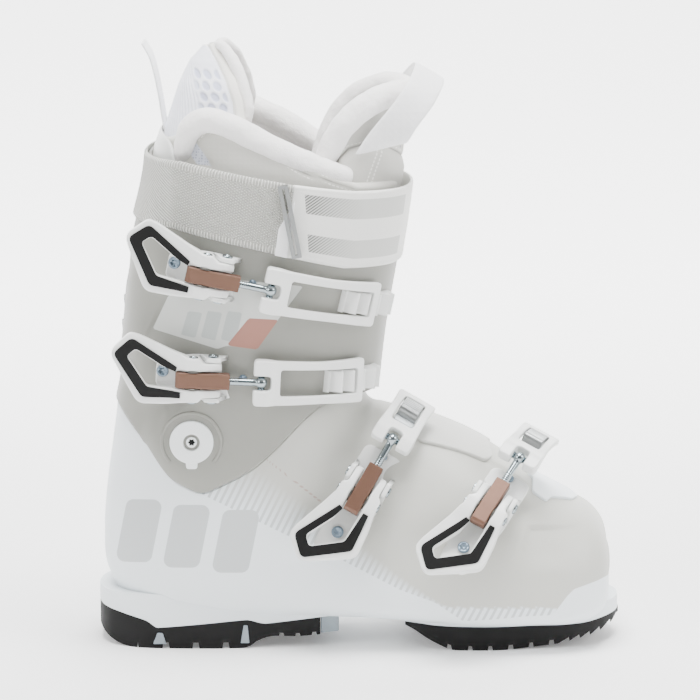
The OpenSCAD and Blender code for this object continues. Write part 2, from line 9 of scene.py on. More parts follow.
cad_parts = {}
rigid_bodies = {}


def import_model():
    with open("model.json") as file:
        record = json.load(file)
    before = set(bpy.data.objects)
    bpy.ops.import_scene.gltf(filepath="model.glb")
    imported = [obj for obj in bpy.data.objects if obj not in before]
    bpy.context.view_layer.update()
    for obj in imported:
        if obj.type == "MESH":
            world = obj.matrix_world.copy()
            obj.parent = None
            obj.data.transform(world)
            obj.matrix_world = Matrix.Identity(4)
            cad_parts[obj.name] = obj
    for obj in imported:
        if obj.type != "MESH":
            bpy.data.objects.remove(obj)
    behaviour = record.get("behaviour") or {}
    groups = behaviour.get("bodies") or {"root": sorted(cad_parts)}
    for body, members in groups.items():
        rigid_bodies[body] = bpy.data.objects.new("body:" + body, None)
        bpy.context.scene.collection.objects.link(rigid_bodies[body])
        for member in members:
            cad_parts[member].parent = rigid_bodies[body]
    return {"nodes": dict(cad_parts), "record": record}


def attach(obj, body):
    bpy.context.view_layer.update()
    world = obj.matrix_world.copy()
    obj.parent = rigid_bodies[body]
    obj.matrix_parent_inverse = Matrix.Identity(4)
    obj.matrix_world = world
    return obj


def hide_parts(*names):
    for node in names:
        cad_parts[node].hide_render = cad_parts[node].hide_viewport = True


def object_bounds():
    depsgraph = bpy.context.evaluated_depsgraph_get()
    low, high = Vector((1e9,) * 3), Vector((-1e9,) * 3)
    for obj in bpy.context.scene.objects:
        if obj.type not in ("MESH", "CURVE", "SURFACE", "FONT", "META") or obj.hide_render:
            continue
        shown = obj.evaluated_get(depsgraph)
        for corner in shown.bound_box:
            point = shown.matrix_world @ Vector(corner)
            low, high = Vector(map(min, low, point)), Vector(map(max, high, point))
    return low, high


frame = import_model()
cad_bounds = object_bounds()
nodes = frame["nodes"]
MM = 0.001

# ------------------------------------------------------------------ tables shared with the CAD
# Shell sections: crest x, z, keel x, z, half width, centre y, widest place, fullness above, below.
SHELL_FRONT = [
    [234, 52, 234, 36, 20, 6, 0.55, 2.2, 2.6],
    [231.5, 64, 233.5, 26, 34, 5, 0.55, 2.2, 3.2],
    [223.5, 74, 229, 18, 43, 4, 0.60, 2.2, 4.0],
    [210, 82, 214, 14, 50, 2, 0.64, 2.2, 5.0],
    [190, 93, 192, 14, 55, 1, 0.68, 2.2, 5.0],
    [161, 113, 160, 14, 56.5, 0, 0.70, 2.2, 5.0],
    [134, 125.5, 125, 15, 52, 0, 0.70, 2.2, 4.5],
    [116, 131, 88, 16, 46, 0, 0.66, 2.2, 4.5],
    [104, 134.5, 48, 16, 42, 0, 0.62, 2.2, 4.5],
    [99, 137, 5, 16, 42, 0, 0.50, 2.2, 4.0]]
SHELL_OUTSIDE = SHELL_FRONT + [      # the heel as it shows, flush with the cuff
    [97, 139.5, -33, 20, 43.5, 0, 0.42, 2.2, 3.0],
    [96, 142, -49, 40, 44.5, 0, 0.38, 2.2, 2.6],
    [95.5, 144, -51.2, 64, 45.5, 0, 0.38, 2.2, 2.4],
    [95, 146, -49.3, 90, 46.2, 0, 0.40, 2.2, 2.3],
    [94.7, 148, -45.8, 115, 46.6, 0, 0.45, 2.2, 2.3],
    [94.5, 150, -42.6, 140, 46.6, 0, 0.50, 2.2, 2.3],
    [94.5, 158, -41, 152, 46.6, 0, 0.50, 2.2, 2.3]]
SHELL_TUCKED = SHELL_FRONT + [       # the part that goes up inside the cuff
    [97, 139.5, -32, 20, 43.5, 0, 0.42, 2.2, 3.0],
    [96, 142, -49, 40, 44.5, 0, 0.38, 2.2, 2.6],
    [95.5, 144, -49, 64, 45, 0, 0.38, 2.2, 2.4],
    [95, 146, -44, 90, 45.5, 0, 0.40, 2.2, 2.3],
    [94.3, 148, -39.5, 115, 45.6, 0, 0.45, 2.2, 2.2],
    [93.8, 151, -37, 134, 45.6, 0, 0.50, 2.2, 2.2],
    [93.5, 158, -35, 147, 45.6, 0, 0.50, 2.2, 2.2]]
# Level sections: z, rear x, front x, half width, fullness.
CUFF = [
    [88, -45, 92, 47.5, 2.4],
    [110, -45, 98, 50, 2.4],
    [139, -42.7, 103.5, 51.3, 2.4],
    [182, -38.3, 108.5, 53, 2.45],
    [228, -34.5, 116, 54.3, 2.5],
    [262, -30.3, 121, 54.8, 2.5],
    [292, -26.5, 126, 54.5, 2.5]]
SHAFT = [
    [130, -26, 74, 36, 2.3],
    [150, -26.5, 78, 38, 2.3],
    [175, -27, 83, 39.5, 2.3],
    [193, -32.5, 98, 46.5, 2.4],
    [228, -30.5, 110, 49, 2.4],
    [262, -26, 115, 49.5, 2.4],
    [300, -16, 119, 46, 2.4]]
# Edges seen from the side, as (x, z).
CUFF_LOWER_EDGE = [[-50, 141], [-42, 139], [-33, 129], [-24, 118], [-12.5, 102], [-0.6, 95], [6, 94],
                   [14, 97], [33, 107.5], [48, 121], [62, 135.5], [74, 143.5], [90, 147], [130, 147]]
CUFF_UPPER_EDGE = [[-50, 277], [-14, 277], [10, 271], [40, 262], [70, 246], [96, 238], [130, 238]]
# Buckles: hinge pin, roll, pitch, yaw, frame bend radius, bend angle, nose tilt.
BUCKLES = [
    [[18, -60, 217], 0, -12.5, 3, 94, 40, 0],
    [[12, -58.2, 160.5], 0, -3, 3, 92, 38, 0],
    [[98, -45.4, 99.5], 22, 60, 0, 34, 54, 12],
    [[168.3, -50.5, 91], 38, 59, 0, 32, 54, 14]]
ON_CUFF = (1, 2)      # these buckles are on the cuff, the other two on the shell
PIVOT_Z = 123
CAMERA_TILT = math.radians(12)


# ------------------------------------------------------------------ number helpers
def row_at(rows, t):
    """The rows' smooth in-between row at each fractional place in t."""
    rows = np.asarray(rows, float)
    last = len(rows) - 1
    t = np.clip(t, 0, last)
    i = np.minimum(t.astype(int), last - 1)
    f = (t - i)[..., None]
    p1, p2 = rows[i], rows[i + 1]
    p0 = np.where((i > 0)[..., None], rows[np.maximum(i - 1, 0)], 2 * p1 - p2)
    p3 = np.where((i + 2 <= last)[..., None], rows[np.minimum(i + 2, last)], 2 * p2 - p1)
    return 0.5 * (2 * p1 + (p2 - p0) * f + (2 * p0 - 5 * p1 + 4 * p2 - p3) * f * f
                  + (3 * p1 - p0 - 3 * p2 + p3) * f ** 3)


def ease(low, high, v):
    """0 below low, 1 above high, and smooth between."""
    f = np.clip((np.asarray(v, float) - low) / (high - low), 0, 1)
    return f * f * (3 - 2 * f)


def edge_line(points):
    """A smooth z of x through the points of an edge."""
    dense = row_at(points, np.linspace(0, len(points) - 1, 400))
    return lambda x: np.interp(x, dense[:, 0], dense[:, 1])


def power(v, p):
    return np.sign(v) * np.abs(v) ** p


def unit(vectors):
    return vectors / np.maximum(np.linalg.norm(vectors, axis=-1, keepdims=True), 1e-9)


def run_along(points):
    """Length run along each row of points."""
    step = np.linalg.norm(np.diff(points, axis=-2), axis=-1)
    return np.concatenate([np.zeros_like(step[..., :1]), np.cumsum(step, axis=-1)], axis=-1)


def angles(count):
    """Evenly spaced angles round a circle."""
    return np.linspace(0, 2 * math.pi, count, endpoint=False)


def evenly(ring, count):
    """Each dense half ring, taken again at count evenly spaced places."""
    length = run_along(ring)
    out = np.empty((len(ring), count, 3))
    for i in range(len(ring)):
        want = np.linspace(0, length[i, -1], count)
        for k in range(3):
            out[i, :, k] = np.interp(want, length[i], ring[i, :, k])
    return out


DENSE = 1400      # points of a half ring before it is spaced evenly
PLACES = 401      # evenly spaced points of a half ring
LEVELS = 300      # rows of a level surface's table


def table_lookup(table, row, s):
    """Bilinear value of a half-ring table at fractional rows and at |s| along the half ring."""
    row = np.asarray(row, float)
    fs = np.abs(s) * (PLACES - 1)
    i = np.clip(row.astype(int), 0, len(table) - 2)
    j = np.clip(fs.astype(int), 0, PLACES - 2)
    fi, fj = (row - i)[..., None], (fs - j)[..., None]
    top = table[i, j] * (1 - fj) + table[i, j + 1] * fj
    low = table[i + 1, j] * (1 - fj) + table[i + 1, j + 1] * fj
    return top * (1 - fi) + low * fi


def level_surface(rows, inset=0.0):
    """point(z, s): s runs from 0 at the front to 1 at the rear, on the -Y side where it is negative."""
    bottom, top = rows[0][0], rows[-1][0]
    z = np.linspace(bottom, top, LEVELS)
    t = np.interp(z, [r[0] for r in rows], np.arange(len(rows)))
    row = row_at(rows, t)
    a = np.linspace(0, math.pi, DENSE)
    p = (2 / row[:, 4])[:, None]
    x = ((row[:, 1] + row[:, 2]) / 2)[:, None] + ((row[:, 2] - row[:, 1]) / 2 - inset)[:, None] \
        * power(np.cos(a), p)
    y = (row[:, 3] - inset)[:, None] * power(np.abs(np.sin(a)), p)
    table = evenly(np.stack([x, y, np.zeros_like(x)], axis=2), PLACES)

    def point(z_at, s):
        z_at, s = np.broadcast_arrays(np.asarray(z_at, float), np.asarray(s, float))
        out = table_lookup(table, (z_at - bottom) / (top - bottom) * (LEVELS - 1), s)
        out[..., 1] *= np.sign(s)
        out[..., 2] = z_at
        return out
    return point


def shell_surface(rows, inset=0.0):
    """point(t, s): t is a fractional row, s runs from 0 at the crest to 1 at the keel."""
    per_row = 24
    row = row_at(rows, np.linspace(0, len(rows) - 1, (len(rows) - 1) * per_row + 1))
    crest, keel = row[:, 0:2], row[:, 2:4]
    along = unit(keel - crest)
    crest, keel = crest + along * inset, keel - along * inset
    a = np.linspace(0, math.pi, DENSE)
    c, s_ = np.cos(a), np.abs(np.sin(a))
    p = np.where(c > 0, 2 / row[:, 7:8], 2 / row[:, 8:9])
    m = row[:, 6:7]
    f = np.where(c > 0, m * (1 - np.abs(c) ** p), m + (1 - m) * np.abs(c) ** p)
    x = crest[:, 0:1] + (keel - crest)[:, 0:1] * f
    z = crest[:, 1:2] + (keel - crest)[:, 1:2] * f
    w = (row[:, 4:5] - inset) * s_ ** p
    table = evenly(np.stack([x, w, z], axis=2), PLACES)
    centre = row[:, 5]

    def point(t, s):
        t, s = np.broadcast_arrays(np.asarray(t, float), np.asarray(s, float))
        out = table_lookup(table, t * per_row, s)
        out[..., 1] = out[..., 1] * np.sign(s) + np.interp(t * per_row, np.arange(len(centre)), centre)
        return out
    return point


def columns(half):
    """Places s of a closed ring's columns: front to rear on the +Y side, then back on the -Y side."""
    there = np.linspace(0, 1, half)
    return np.concatenate([there[:-1], -there[::-1][:-1]])


def crossing(values, places):
    """First place, down axis 0, where values turns positive, for each column."""
    above = values > 0
    first = np.argmax(above, axis=0)
    first = np.where(above.any(axis=0), first, len(places) - 1)
    out = np.empty(values.shape[1])
    for j, i in enumerate(first):
        if i == 0:
            out[j] = places[0]
        else:
            f = values[i - 1, j] / (values[i - 1, j] - values[i, j])
            out[j] = places[i - 1] + (places[i] - places[i - 1]) * min(max(f, 0), 1)
    return out


def normals(grid):
    """Unit normals of a grid that is closed along its columns, pointing away from its middle."""
    down = np.gradient(grid, axis=0)
    across = np.roll(grid, -1, axis=1) - np.roll(grid, 1, axis=1)
    n = unit(np.cross(down, across))
    away = grid - grid.mean(axis=1, keepdims=True)
    if (n * away).sum() < 0:
        n = -n
    return n


def to_segment(x, z, a, b):
    """Distance to the line from a to b, and the share of that line before the nearest place."""
    d = b - a
    f = np.clip(((x - a[0]) * d[0] + (z - a[1]) * d[1]) / (d @ d), 0, 1)
    return np.hypot(x - a[0] - f * d[0], z - a[1] - f * d[1]), f


def polyline_distance(x, z, pts):
    """Distance to an open line, and the length run along it to the nearest place."""
    best, run_at, run = np.full(np.shape(x), 1e9), np.zeros(np.shape(x)), 0.0
    for a, b in zip(np.asarray(pts[:-1], float), np.asarray(pts[1:], float)):
        gap, f = to_segment(x, z, a, b)
        run_at = np.where(gap < best, run + f * np.linalg.norm(b - a), run_at)
        best = np.minimum(best, gap)
        run += np.linalg.norm(b - a)
    return best, run_at


def distance_inside(x, z, outline):
    """Signed distance to a closed outline, positive inside."""
    pts = np.asarray(outline, float)
    best = np.full(np.shape(x), 1e9)
    inside = np.zeros(np.shape(x), bool)
    for a, b in zip(pts, np.roll(pts, -1, axis=0)):
        best = np.minimum(best, to_segment(x, z, a, b)[0])
        if a[1] != b[1]:
            hit = ((a[1] > z) != (b[1] > z)) & (x < (b[0] - a[0]) * (z - a[1]) / (b[1] - a[1]) + a[0])
            inside ^= hit
    return np.where(inside, best, -best)


def side_height(points):
    """Height of points as the side view shows it, the same on both sides of the boot."""
    return points[..., 2] * math.cos(CAMERA_TILT) - np.abs(points[..., 1]) * math.sin(CAMERA_TILT)


def rough(points, scale, seed=0.0):
    """Smooth noise from -1 to 1 at each point, with features of about scale millimetres."""
    out = np.array([noise.noise(Vector((p[0] / scale + seed, p[1] / scale, p[2] / scale)))
                    for p in points.reshape(-1, 3)])
    return out.reshape(points.shape[:-1])


# ------------------------------------------------------------------ mesh helpers
def grid_faces(rows, cols, around=True, wrap=False):
    """Quads between rows of points; around closes each row, wrap joins the last row to the first."""
    faces = []
    for i in range(rows if wrap else rows - 1):
        for j in range(cols if around else cols - 1):
            k, n = (j + 1) % cols, (i + 1) % rows
            faces.append((i * cols + j, n * cols + j, n * cols + k, i * cols + k))
    return faces


def placed(thing):
    """The object, linked to the scene."""
    bpy.context.scene.collection.objects.link(thing)
    return thing


def close_mesh(bm, mesh):
    """Writes an edited mesh back, with its faces turned outwards."""
    bmesh.ops.recalc_face_normals(bm, faces=bm.faces)
    bm.to_mesh(mesh)
    bm.free()


def body_of(node):
    """The body that a CAD node rides on."""
    return nodes[node].parent.name.split(":")[1]


def closed_rings(upper, lower):
    """Rings that run along the upper rows and back along the lower ones."""
    return np.concatenate([upper, lower[:, ::-1]], axis=1)


def make(name, points, faces, body, material):
    """A piece from points in millimetres, riding on a body."""
    mesh = bpy.data.meshes.new(name)
    mesh.from_pydata((np.asarray(points, float).reshape(-1, 3) * MM).tolist(), [], faces)
    bm = bmesh.new()
    bm.from_mesh(mesh)
    close_mesh(bm, mesh)
    mesh.shade_smooth()
    mesh.materials.append(material)
    piece = placed(bpy.data.objects.new(name, mesh))
    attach(piece, body)
    return piece


def closed_tube(name, grid, body, material):
    """A ring of rows that is closed both ways."""
    rows, cols = grid.shape[:2]
    return make(name, grid, grid_faces(rows, cols, True, True), body, material)


def capped_faces(rows, cols):
    """Quads between closed rows, with the first and the last row filled."""
    return grid_faces(rows, cols) + [tuple(range(cols)), tuple(rows * cols - 1 - j for j in range(cols))]


def capped(name, grid, body, material):
    """Rows of closed rings with both ends filled."""
    return make(name, grid, capped_faces(*grid.shape[:2]), body, material)


def note(piece, name, values):
    """Stores one number for each vertex, for the material to read."""
    layer = piece.data.attributes.new(name, "FLOAT", "POINT")
    layer.data.foreach_set("value", np.asarray(values, np.float32).ravel())


FAR_OUTSIDE = -5.0      # a stored distance where there is no print


def note_print(piece, grid, name, distance):
    """Stores the distance inside a print that only the boot's outer side has."""
    note(piece, name, np.where(grid[..., 1] < 0, distance, FAR_OUTSIDE))


def inside_any(x, v, outlines):
    return np.max([distance_inside(x, v, outline) for outline in outlines], axis=0)


def valley(distance, width):
    """1 on a line, fading to 0 beside it."""
    return np.exp(-(distance / width) ** 2)


def soften(piece, width):
    """Rounded edges."""
    bevel = piece.modifiers.new("round", "BEVEL")
    bevel.width = width * MM
    bevel.segments = 2
    bevel.limit_method = "ANGLE"
    bevel.angle_limit = math.radians(50)
    bevel.use_clamp_overlap = True
    bevel.harden_normals = True
    return piece


def even_shading(piece):
    """Normals weighted by face area, so that flat faces stay flat beside rounded edges."""
    piece.modifiers.new("shade", "WEIGHTED_NORMAL").keep_sharp = False
    return piece


# ------------------------------------------------------------------ materials
def srgb(r, g, b):
    """A linear colour from screen values of 0 to 255."""
    def one(v):
        v /= 255
        return v / 12.92 if v <= 0.04045 else ((v + 0.055) / 1.055) ** 2.4
    return (one(r), one(g), one(b), 1.0)


def new_material(name, color, roughness, metallic=0.0, **sockets):
    """A plain material; other sockets are given with _ for a space in their names."""
    material = bpy.data.materials.new(name)
    material.use_nodes = True
    shader = material.node_tree.nodes["Principled BSDF"]
    shader.inputs["Base Color"].default_value = color
    shader.inputs["Roughness"].default_value = roughness
    shader.inputs["Metallic"].default_value = metallic
    for socket, value in sockets.items():
        shader.inputs[socket.replace("_", " ")].default_value = value
    return material


def link(material, out, into):
    material.node_tree.links.new(out, into)


def add_node(material, kind, inputs=None, **settings):
    """A new shader node; each input is a value, or another node's output to link."""
    made = material.node_tree.nodes.new(kind)
    for key, value in settings.items():
        setattr(made, key, value)
    for socket, value in (inputs or {}).items():
        if hasattr(value, "is_linked"):
            link(material, value, made.inputs[socket])
        else:
            made.inputs[socket].default_value = value
    return made


def shader_of(material):
    return material.node_tree.nodes["Principled BSDF"]


def color_of(material):
    """The output that colours the material so far."""
    return shader_of(material).inputs["Base Color"].links[0].from_socket


def paint(material, tone):
    link(material, tone, shader_of(material).inputs["Base Color"])


def darker(color, share):
    return tuple(c * share for c in color[:3]) + (1.0,)


def place_in(material):
    """The piece's own coordinates, in metres."""
    return add_node(material, "ShaderNodeTexCoord").outputs["Object"]


def noise_out(material, scale, detail=3.0, stretch=None):
    place = place_in(material)
    if stretch:
        place = add_node(material, "ShaderNodeMapping", {"Scale": stretch, "Vector": place}).outputs["Vector"]
    return add_node(material, "ShaderNodeTexNoise",
                    {"Scale": scale, "Detail": detail, "Vector": place}).outputs["Fac"]


def math_node(material, operation, a, b=None, clamp=False):
    inputs = {0: a} if b is None else {0: a, 1: b}
    return add_node(material, "ShaderNodeMath", inputs, operation=operation, use_clamp=clamp).outputs[0]


def times(material, a, b, clamp=False):
    return math_node(material, "MULTIPLY", a, b, clamp)


def minus(material, a, b, clamp=False):
    return math_node(material, "SUBTRACT", a, b, clamp)


def mix_color(material, factor, a, b):
    return add_node(material, "ShaderNodeMix", {0: factor, 6: a, 7: b}, data_type="RGBA").outputs[2]


def mix_value(material, factor, a, b):
    return add_node(material, "ShaderNodeMix", {0: factor, 2: a, 3: b}, data_type="FLOAT").outputs[0]


def uneven_gloss(material, scale, low, high):
    """Roughness that wanders between low and high."""
    span = add_node(material, "ShaderNodeMapRange",
                    {"To Min": low, "To Max": high, "Value": noise_out(material, scale, 4)})
    link(material, span.outputs["Result"], shader_of(material).inputs["Roughness"])


def add_bump(material, height, strength, distance):
    """Adds one more layer of surface relief under any that is there."""
    normal = shader_of(material).inputs["Normal"]
    inputs = {"Strength": strength, "Distance": distance * MM, "Height": height}
    if normal.is_linked:
        inputs["Normal"] = normal.links[0].from_socket
    link(material, add_node(material, "ShaderNodeBump", inputs).outputs["Normal"], normal)


def moulded(name, color, roughness, grain=1.0, **sockets):
    """Moulded plastic: fine grain, faint clouding of colour and uneven gloss."""
    material = new_material(name, color, roughness, **sockets)
    paint(material, mix_color(material, noise_out(material, 25, 2), darker(color, 0.955), color))
    uneven_gloss(material, 90, roughness - 0.05, roughness + 0.07)
    add_bump(material, noise_out(material, 1600, 2), 0.12 * grain, 0.12)
    return material


def attribute(material, name):
    """The number that note() stored under this name."""
    return add_node(material, "ShaderNodeAttribute", attribute_name=name).outputs["Fac"]


def edge_mask(material, distance, softness):
    """1 where a signed distance in millimetres is positive."""
    return add_node(material, "ShaderNodeMapRange", {
        "From Min": -softness, "From Max": softness, "Value": distance}).outputs["Result"]


def mask(material, name, softness=0.12):
    """1 where a stored distance is positive."""
    return edge_mask(material, attribute(material, name), softness)


def dots(material, scale, randomness, radius, softness):
    """1 inside evenly spread round dots."""
    cells = add_node(material, "ShaderNodeTexVoronoi", {
        "Scale": scale, "Randomness": randomness, "Vector": place_in(material)})
    return edge_mask(material, minus(material, radius, cells.outputs["Distance"]), softness)


# ------------------------------------------------------------------ the material list
WHITE = srgb(230, 236, 239)
GREY = srgb(186, 186, 179)
# The cuff's grey is partly its own colour and partly painted shade: it is set darker than the shell's grey
# because the upright cuff gets less light.
CUFF_GREY = srgb(134, 134, 127)
SALMON = srgb(152, 104, 90)

gloss_white = moulded("gloss_white", srgb(224, 225, 223), 0.32, 0.6, Coat_Weight=0.2, Coat_Roughness=0.25)
disc_white = moulded("disc_white", srgb(234, 238, 238), 0.38)
insert_black = moulded("insert_black", srgb(10, 10, 10), 0.5, 2.0, Specular_IOR_Level=0.2)
rubber = moulded("sole_rubber", srgb(14, 14, 14), 0.62, 3.0, Specular_IOR_Level=0.22)
spacer_plastic = moulded("spacer_plastic", srgb(148, 160, 168), 0.3, 0.5, Transmission_Weight=0.25, IOR=1.49)
board_foam = moulded("board_foam", srgb(120, 120, 122), 0.85, 4.0)
plain_white = moulded("shell_white", WHITE, 0.42)
cuff_plain = moulded("cuff_grey", CUFF_GREY, 0.42)
flap_grey = moulded("flap_grey", srgb(196, 196, 191), 0.4)


def metal(name, color, roughness, brushed=0.0):
    """Metal with uneven gloss, brushed where that is above 0."""
    material = new_material(name, color, roughness, 1.0)
    uneven_gloss(material, 300, roughness * 0.7, roughness * 1.5)
    if brushed:
        add_bump(material, noise_out(material, 300, 2, (1, 14, 14)), brushed, 0.05)
    return material


steel = metal("steel", srgb(150, 160, 164), 0.13)
zinc = metal("zinc", srgb(122, 138, 152), 0.32, 0.1)
dark_steel = metal("dark_steel", srgb(84, 82, 78), 0.3, 0.2)
brushed_steel = metal("brushed_steel", srgb(150, 152, 152), 0.34, 0.25)
bronze = metal("bronze", srgb(104, 76, 62), 0.4, 0.12)
shader_of(bronze).inputs["Metallic"].default_value = 0.55


def shell_material():
    """White below and behind, warm grey in front, with fading slanted stripes between."""
    material = moulded("shell_two_tone", WHITE, 0.42)
    fade = attribute(material, "fade")
    wave = math_node(material, "FRACT", attribute(material, "stripe"))
    stripes = times(material, edge_mask(material, minus(material, wave, 0.42), 0.04), fade, True)
    grey = mix_color(material, noise_out(material, 25, 2), darker(GREY, 0.955), GREY)
    grey = mix_color(material, times(material, fade, 0.8, True), grey, srgb(186, 194, 200))
    grey = mix_color(material, stripes, grey, srgb(230, 236, 240))
    tone = mix_color(material, mask(material, "overmould"), color_of(material), grey)
    tone = mix_color(material, mask(material, "badge", 0.15), tone, srgb(183, 187, 188))
    pin = times(material, mask(material, "pinstripe", 0.08), 0.55)
    paint(material, mix_color(material, pin, tone, srgb(150, 110, 98)))
    return material


def cuff_material():
    """Warm grey with a printed patch, its blocks and a salmon accent."""
    material = moulded("cuff_plastic", CUFF_GREY, 0.42)
    tone = color_of(material)
    for name, color in (("patch", srgb(190, 192, 188)), ("blocks", srgb(166, 171, 169)), ("accent", SALMON)):
        tone = mix_color(material, mask(material, name), tone, color)
    paint(material, tone)
    return material


def cloth(name, color, thread, bump, sheen):
    """Woven cloth: crossing threads as relief, and soft sheen."""
    material = new_material(name, color, 0.85, Sheen_Weight=sheen, Sheen_Roughness=0.5)
    waves = [add_node(material, "ShaderNodeTexWave", {
        "Scale": 1.0 / (thread * MM) / 20, "Distortion": 0.4, "Vector": place_in(material)},
        bands_direction=axis).outputs["Fac"] for axis in ("X", "Z")]
    add_bump(material, math_node(material, "MAXIMUM", *waves), bump, 0.25)
    paint(material, mix_color(material, noise_out(material, 60, 4), darker(color, 0.92), color))
    return material


def fleece(name, color):
    """Short dense pile: clumped tufts over fine fibres."""
    material = new_material(name, color, 0.95, Sheen_Weight=0.6, Sheen_Roughness=0.35)
    tufts = add_node(material, "ShaderNodeTexVoronoi", {"Scale": 420, "Vector": place_in(material)},
                     feature="SMOOTH_F1")
    add_bump(material, noise_out(material, 1500, 6), 0.7, 0.5)
    add_bump(material, tufts.outputs["Distance"], 0.35, 0.6)
    add_bump(material, noise_out(material, 130, 3), 0.35, 1.5)
    paint(material, mix_color(material, noise_out(material, 120, 5), darker(color, 0.88), color))
    return material


plush = fleece("plush", srgb(250, 248, 246))
liner_cloth = cloth("liner_cloth", srgb(214, 213, 207), 0.5, 0.18, 0.15)
webbing = cloth("webbing", srgb(243, 243, 244), 0.7, 0.5, 0.2)
piping = cloth("piping", srgb(235, 233, 226), 0.45, 0.15, 0.15)


# ------------------------------------------------------------------ the lower shell
SHELL_WALL = 4.2
# Graphics, as (x, height in the side view).
OVERMOULD = [[-5, 140], [3.4, 81.6], [58.6, 54.6], [79.4, 45.6], [116, 27], [135, 20.3], [151, 9.6],
             [168, 10.7], [185, 12.4], [201, 13], [209, 23.6], [213, 27.5], [226, 31.8], [236, 36],
             [260, 50], [260, 220], [-5, 220]]
STRIPE_FOOT = edge_line([[0, 83.5], [3.4, 81.6], [58.6, 54.6], [79.4, 45.6], [116, 27], [140, 17]])
PINSTRIPE = [[40, 101.3], [72, 76]]      # beside the cuff's lower edge
BADGE_ROUND = 4.5
BADGES = [[[-33.5 + d, 73 - 2.8 * k], [-22 + d, 73 - 2.8 * k], [-27.5 + d, 46.5 - 2.8 * k],
           [-39 + d, 46.5 - 2.8 * k]] for k, d in enumerate((0.0, 27.0, 54.5))]


def toe_panels(p):
    """Relief of the toe box: a shallow panel with a ledge above it and a rib behind it."""
    x, v = p[..., 0], side_height(p)
    rib = np.interp(v, [40, 63], [177.5, 187])
    inside = ease(0, 3, x - rib) * ease(-0.2, 1.2, 63 - v) * (1 - ease(198, 222, x)) * ease(36, 50, v)
    return -2.2 * inside


def instep_relief(p):
    """The overlap of the shell's two flaps across the instep, and the seam beside it."""
    x, y, z = p[..., 0], p[..., 1], p[..., 2]
    line = np.interp(x, [96, 130, 165, 190], [-29, -27, -24, -20])
    on_top = ease(0, 1.5, y - line) * ease(100, 106, x) * (1 - ease(182, 190, x)) * ease(60, 90, z)
    return 1.0 * on_top * (1 - ease(18, 34, y))


def build_lower_shell():
    s = columns(121)
    outside, tucked = shell_surface(SHELL_OUTSIDE), shell_surface(SHELL_TUCKED)
    inside = shell_surface(SHELL_TUCKED, SHELL_WALL)
    last, ankle = len(SHELL_TUCKED) - 1, len(SHELL_FRONT) - 2
    search = np.linspace(ankle, last, 700)
    probe = outside(search[:, None], s[None, :])
    clearance = 2.2
    lip = crossing(probe[..., 2] - edge_line(CUFF_LOWER_EDGE)(probe[..., 0]) + clearance, search)
    toe = np.repeat(np.linspace(0, ankle, 110)[:, None], len(s), axis=1)
    heel = ankle + (lip[None, :] - ankle) * np.linspace(0, 1, 90)[1:, None]
    skin = outside(np.concatenate([toe, heel]), s[None, :])
    skin = skin + normals(skin) * (toe_panels(skin) + instep_relief(skin))[..., None]
    centre = skin[0].mean(axis=0)
    cap = [centre + (skin[0] - centre) * math.cos(a) + np.array([1.4 * math.sin(a), 0, 0])
           for a in np.linspace(math.pi / 2 - 0.02, 0.15, 9)]
    edge = []
    for f, ahead in ((0.3, 0.03), (0.7, 0.03), (1.0, 0.01)):
        edge.append(outside(lip + ahead, s) * (1 - f) + tucked(lip + ahead, s) * f)
    rest = lip[None, :] + 0.02 + (last - lip[None, :] - 0.02) * np.linspace(0, 1, 16)[:, None]
    lining = np.repeat(np.linspace(last, 1, 60)[:, None], len(s), axis=1)
    grid = np.concatenate([np.array(cap), skin, np.array(edge), tucked(rest, s[None, :]),
                           inside(lining, s[None, :])])
    piece = capped("shell_lower_skin", grid, "shell", shell_material())
    x, v = grid[..., 0], side_height(grid)
    note(piece, "overmould", distance_inside(x, v, OVERMOULD))
    band = np.interp(x, [10, 39, 137, 150], [30, 28, 2, 0.01])
    above = (v - STRIPE_FOOT(x)) / np.maximum(band, 0.01)
    note(piece, "fade", np.clip(1.05 - above, 0, 1) * 0.85 * (above < 1.05))
    note(piece, "stripe", (x - 0.5 * v) / 3.9)
    note_print(piece, grid, "badge", inside_any(x, v, BADGES) + BADGE_ROUND)
    note_print(piece, grid, "pinstripe", 0.6 - polyline_distance(x, v, PINSTRIPE)[0])
    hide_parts("lower_shell")


build_lower_shell()


# ------------------------------------------------------------------ slabs: lugs and soles
def slab(name, x_from, x_to, left, right, top, bottom, body, material, stations, across, round_by):
    """A solid between two plan edges and two height fields; each is a function of x or of (x, y)."""
    x = x_from + (x_to - x_from) * np.linspace(0, 1, stations)
    g = np.linspace(0, 1, across)
    lo, hi = left(x)[:, None], right(x)[:, None]
    y = lo + (hi - lo) * g[None, :]
    xx = np.repeat(x[:, None], across, axis=1)
    upper = np.stack([xx, y, top(xx, y)], axis=2)
    lower = np.stack([xx, y, np.minimum(bottom(xx, y), top(xx, y) - 0.3)], axis=2)
    grid = closed_rings(upper, lower)
    piece = capped(name, grid, body, material)
    return soften(piece, round_by)


def plan_edges(points):
    """Left and right edge functions of a plan outline given as x, half width to -Y, half width to +Y."""
    pts = np.asarray(points, float)
    dense = row_at(pts, np.linspace(0, len(pts) - 1, 300))
    return (lambda x: -np.interp(x, dense[:, 0], dense[:, 1]),
            lambda x: np.interp(x, dense[:, 0], dense[:, 2]))


def profile(points):
    """A height field that follows a smooth edge along x."""
    line = edge_line(points)
    return lambda x, y: line(x)


def shifted(edge, by):
    return lambda x: edge(x) + by


def straight(points):
    """A height field or edge that runs straight from point to point."""
    pts = np.asarray(points, float)
    return lambda x, y=None: np.interp(x, pts[:, 0], pts[:, 1])


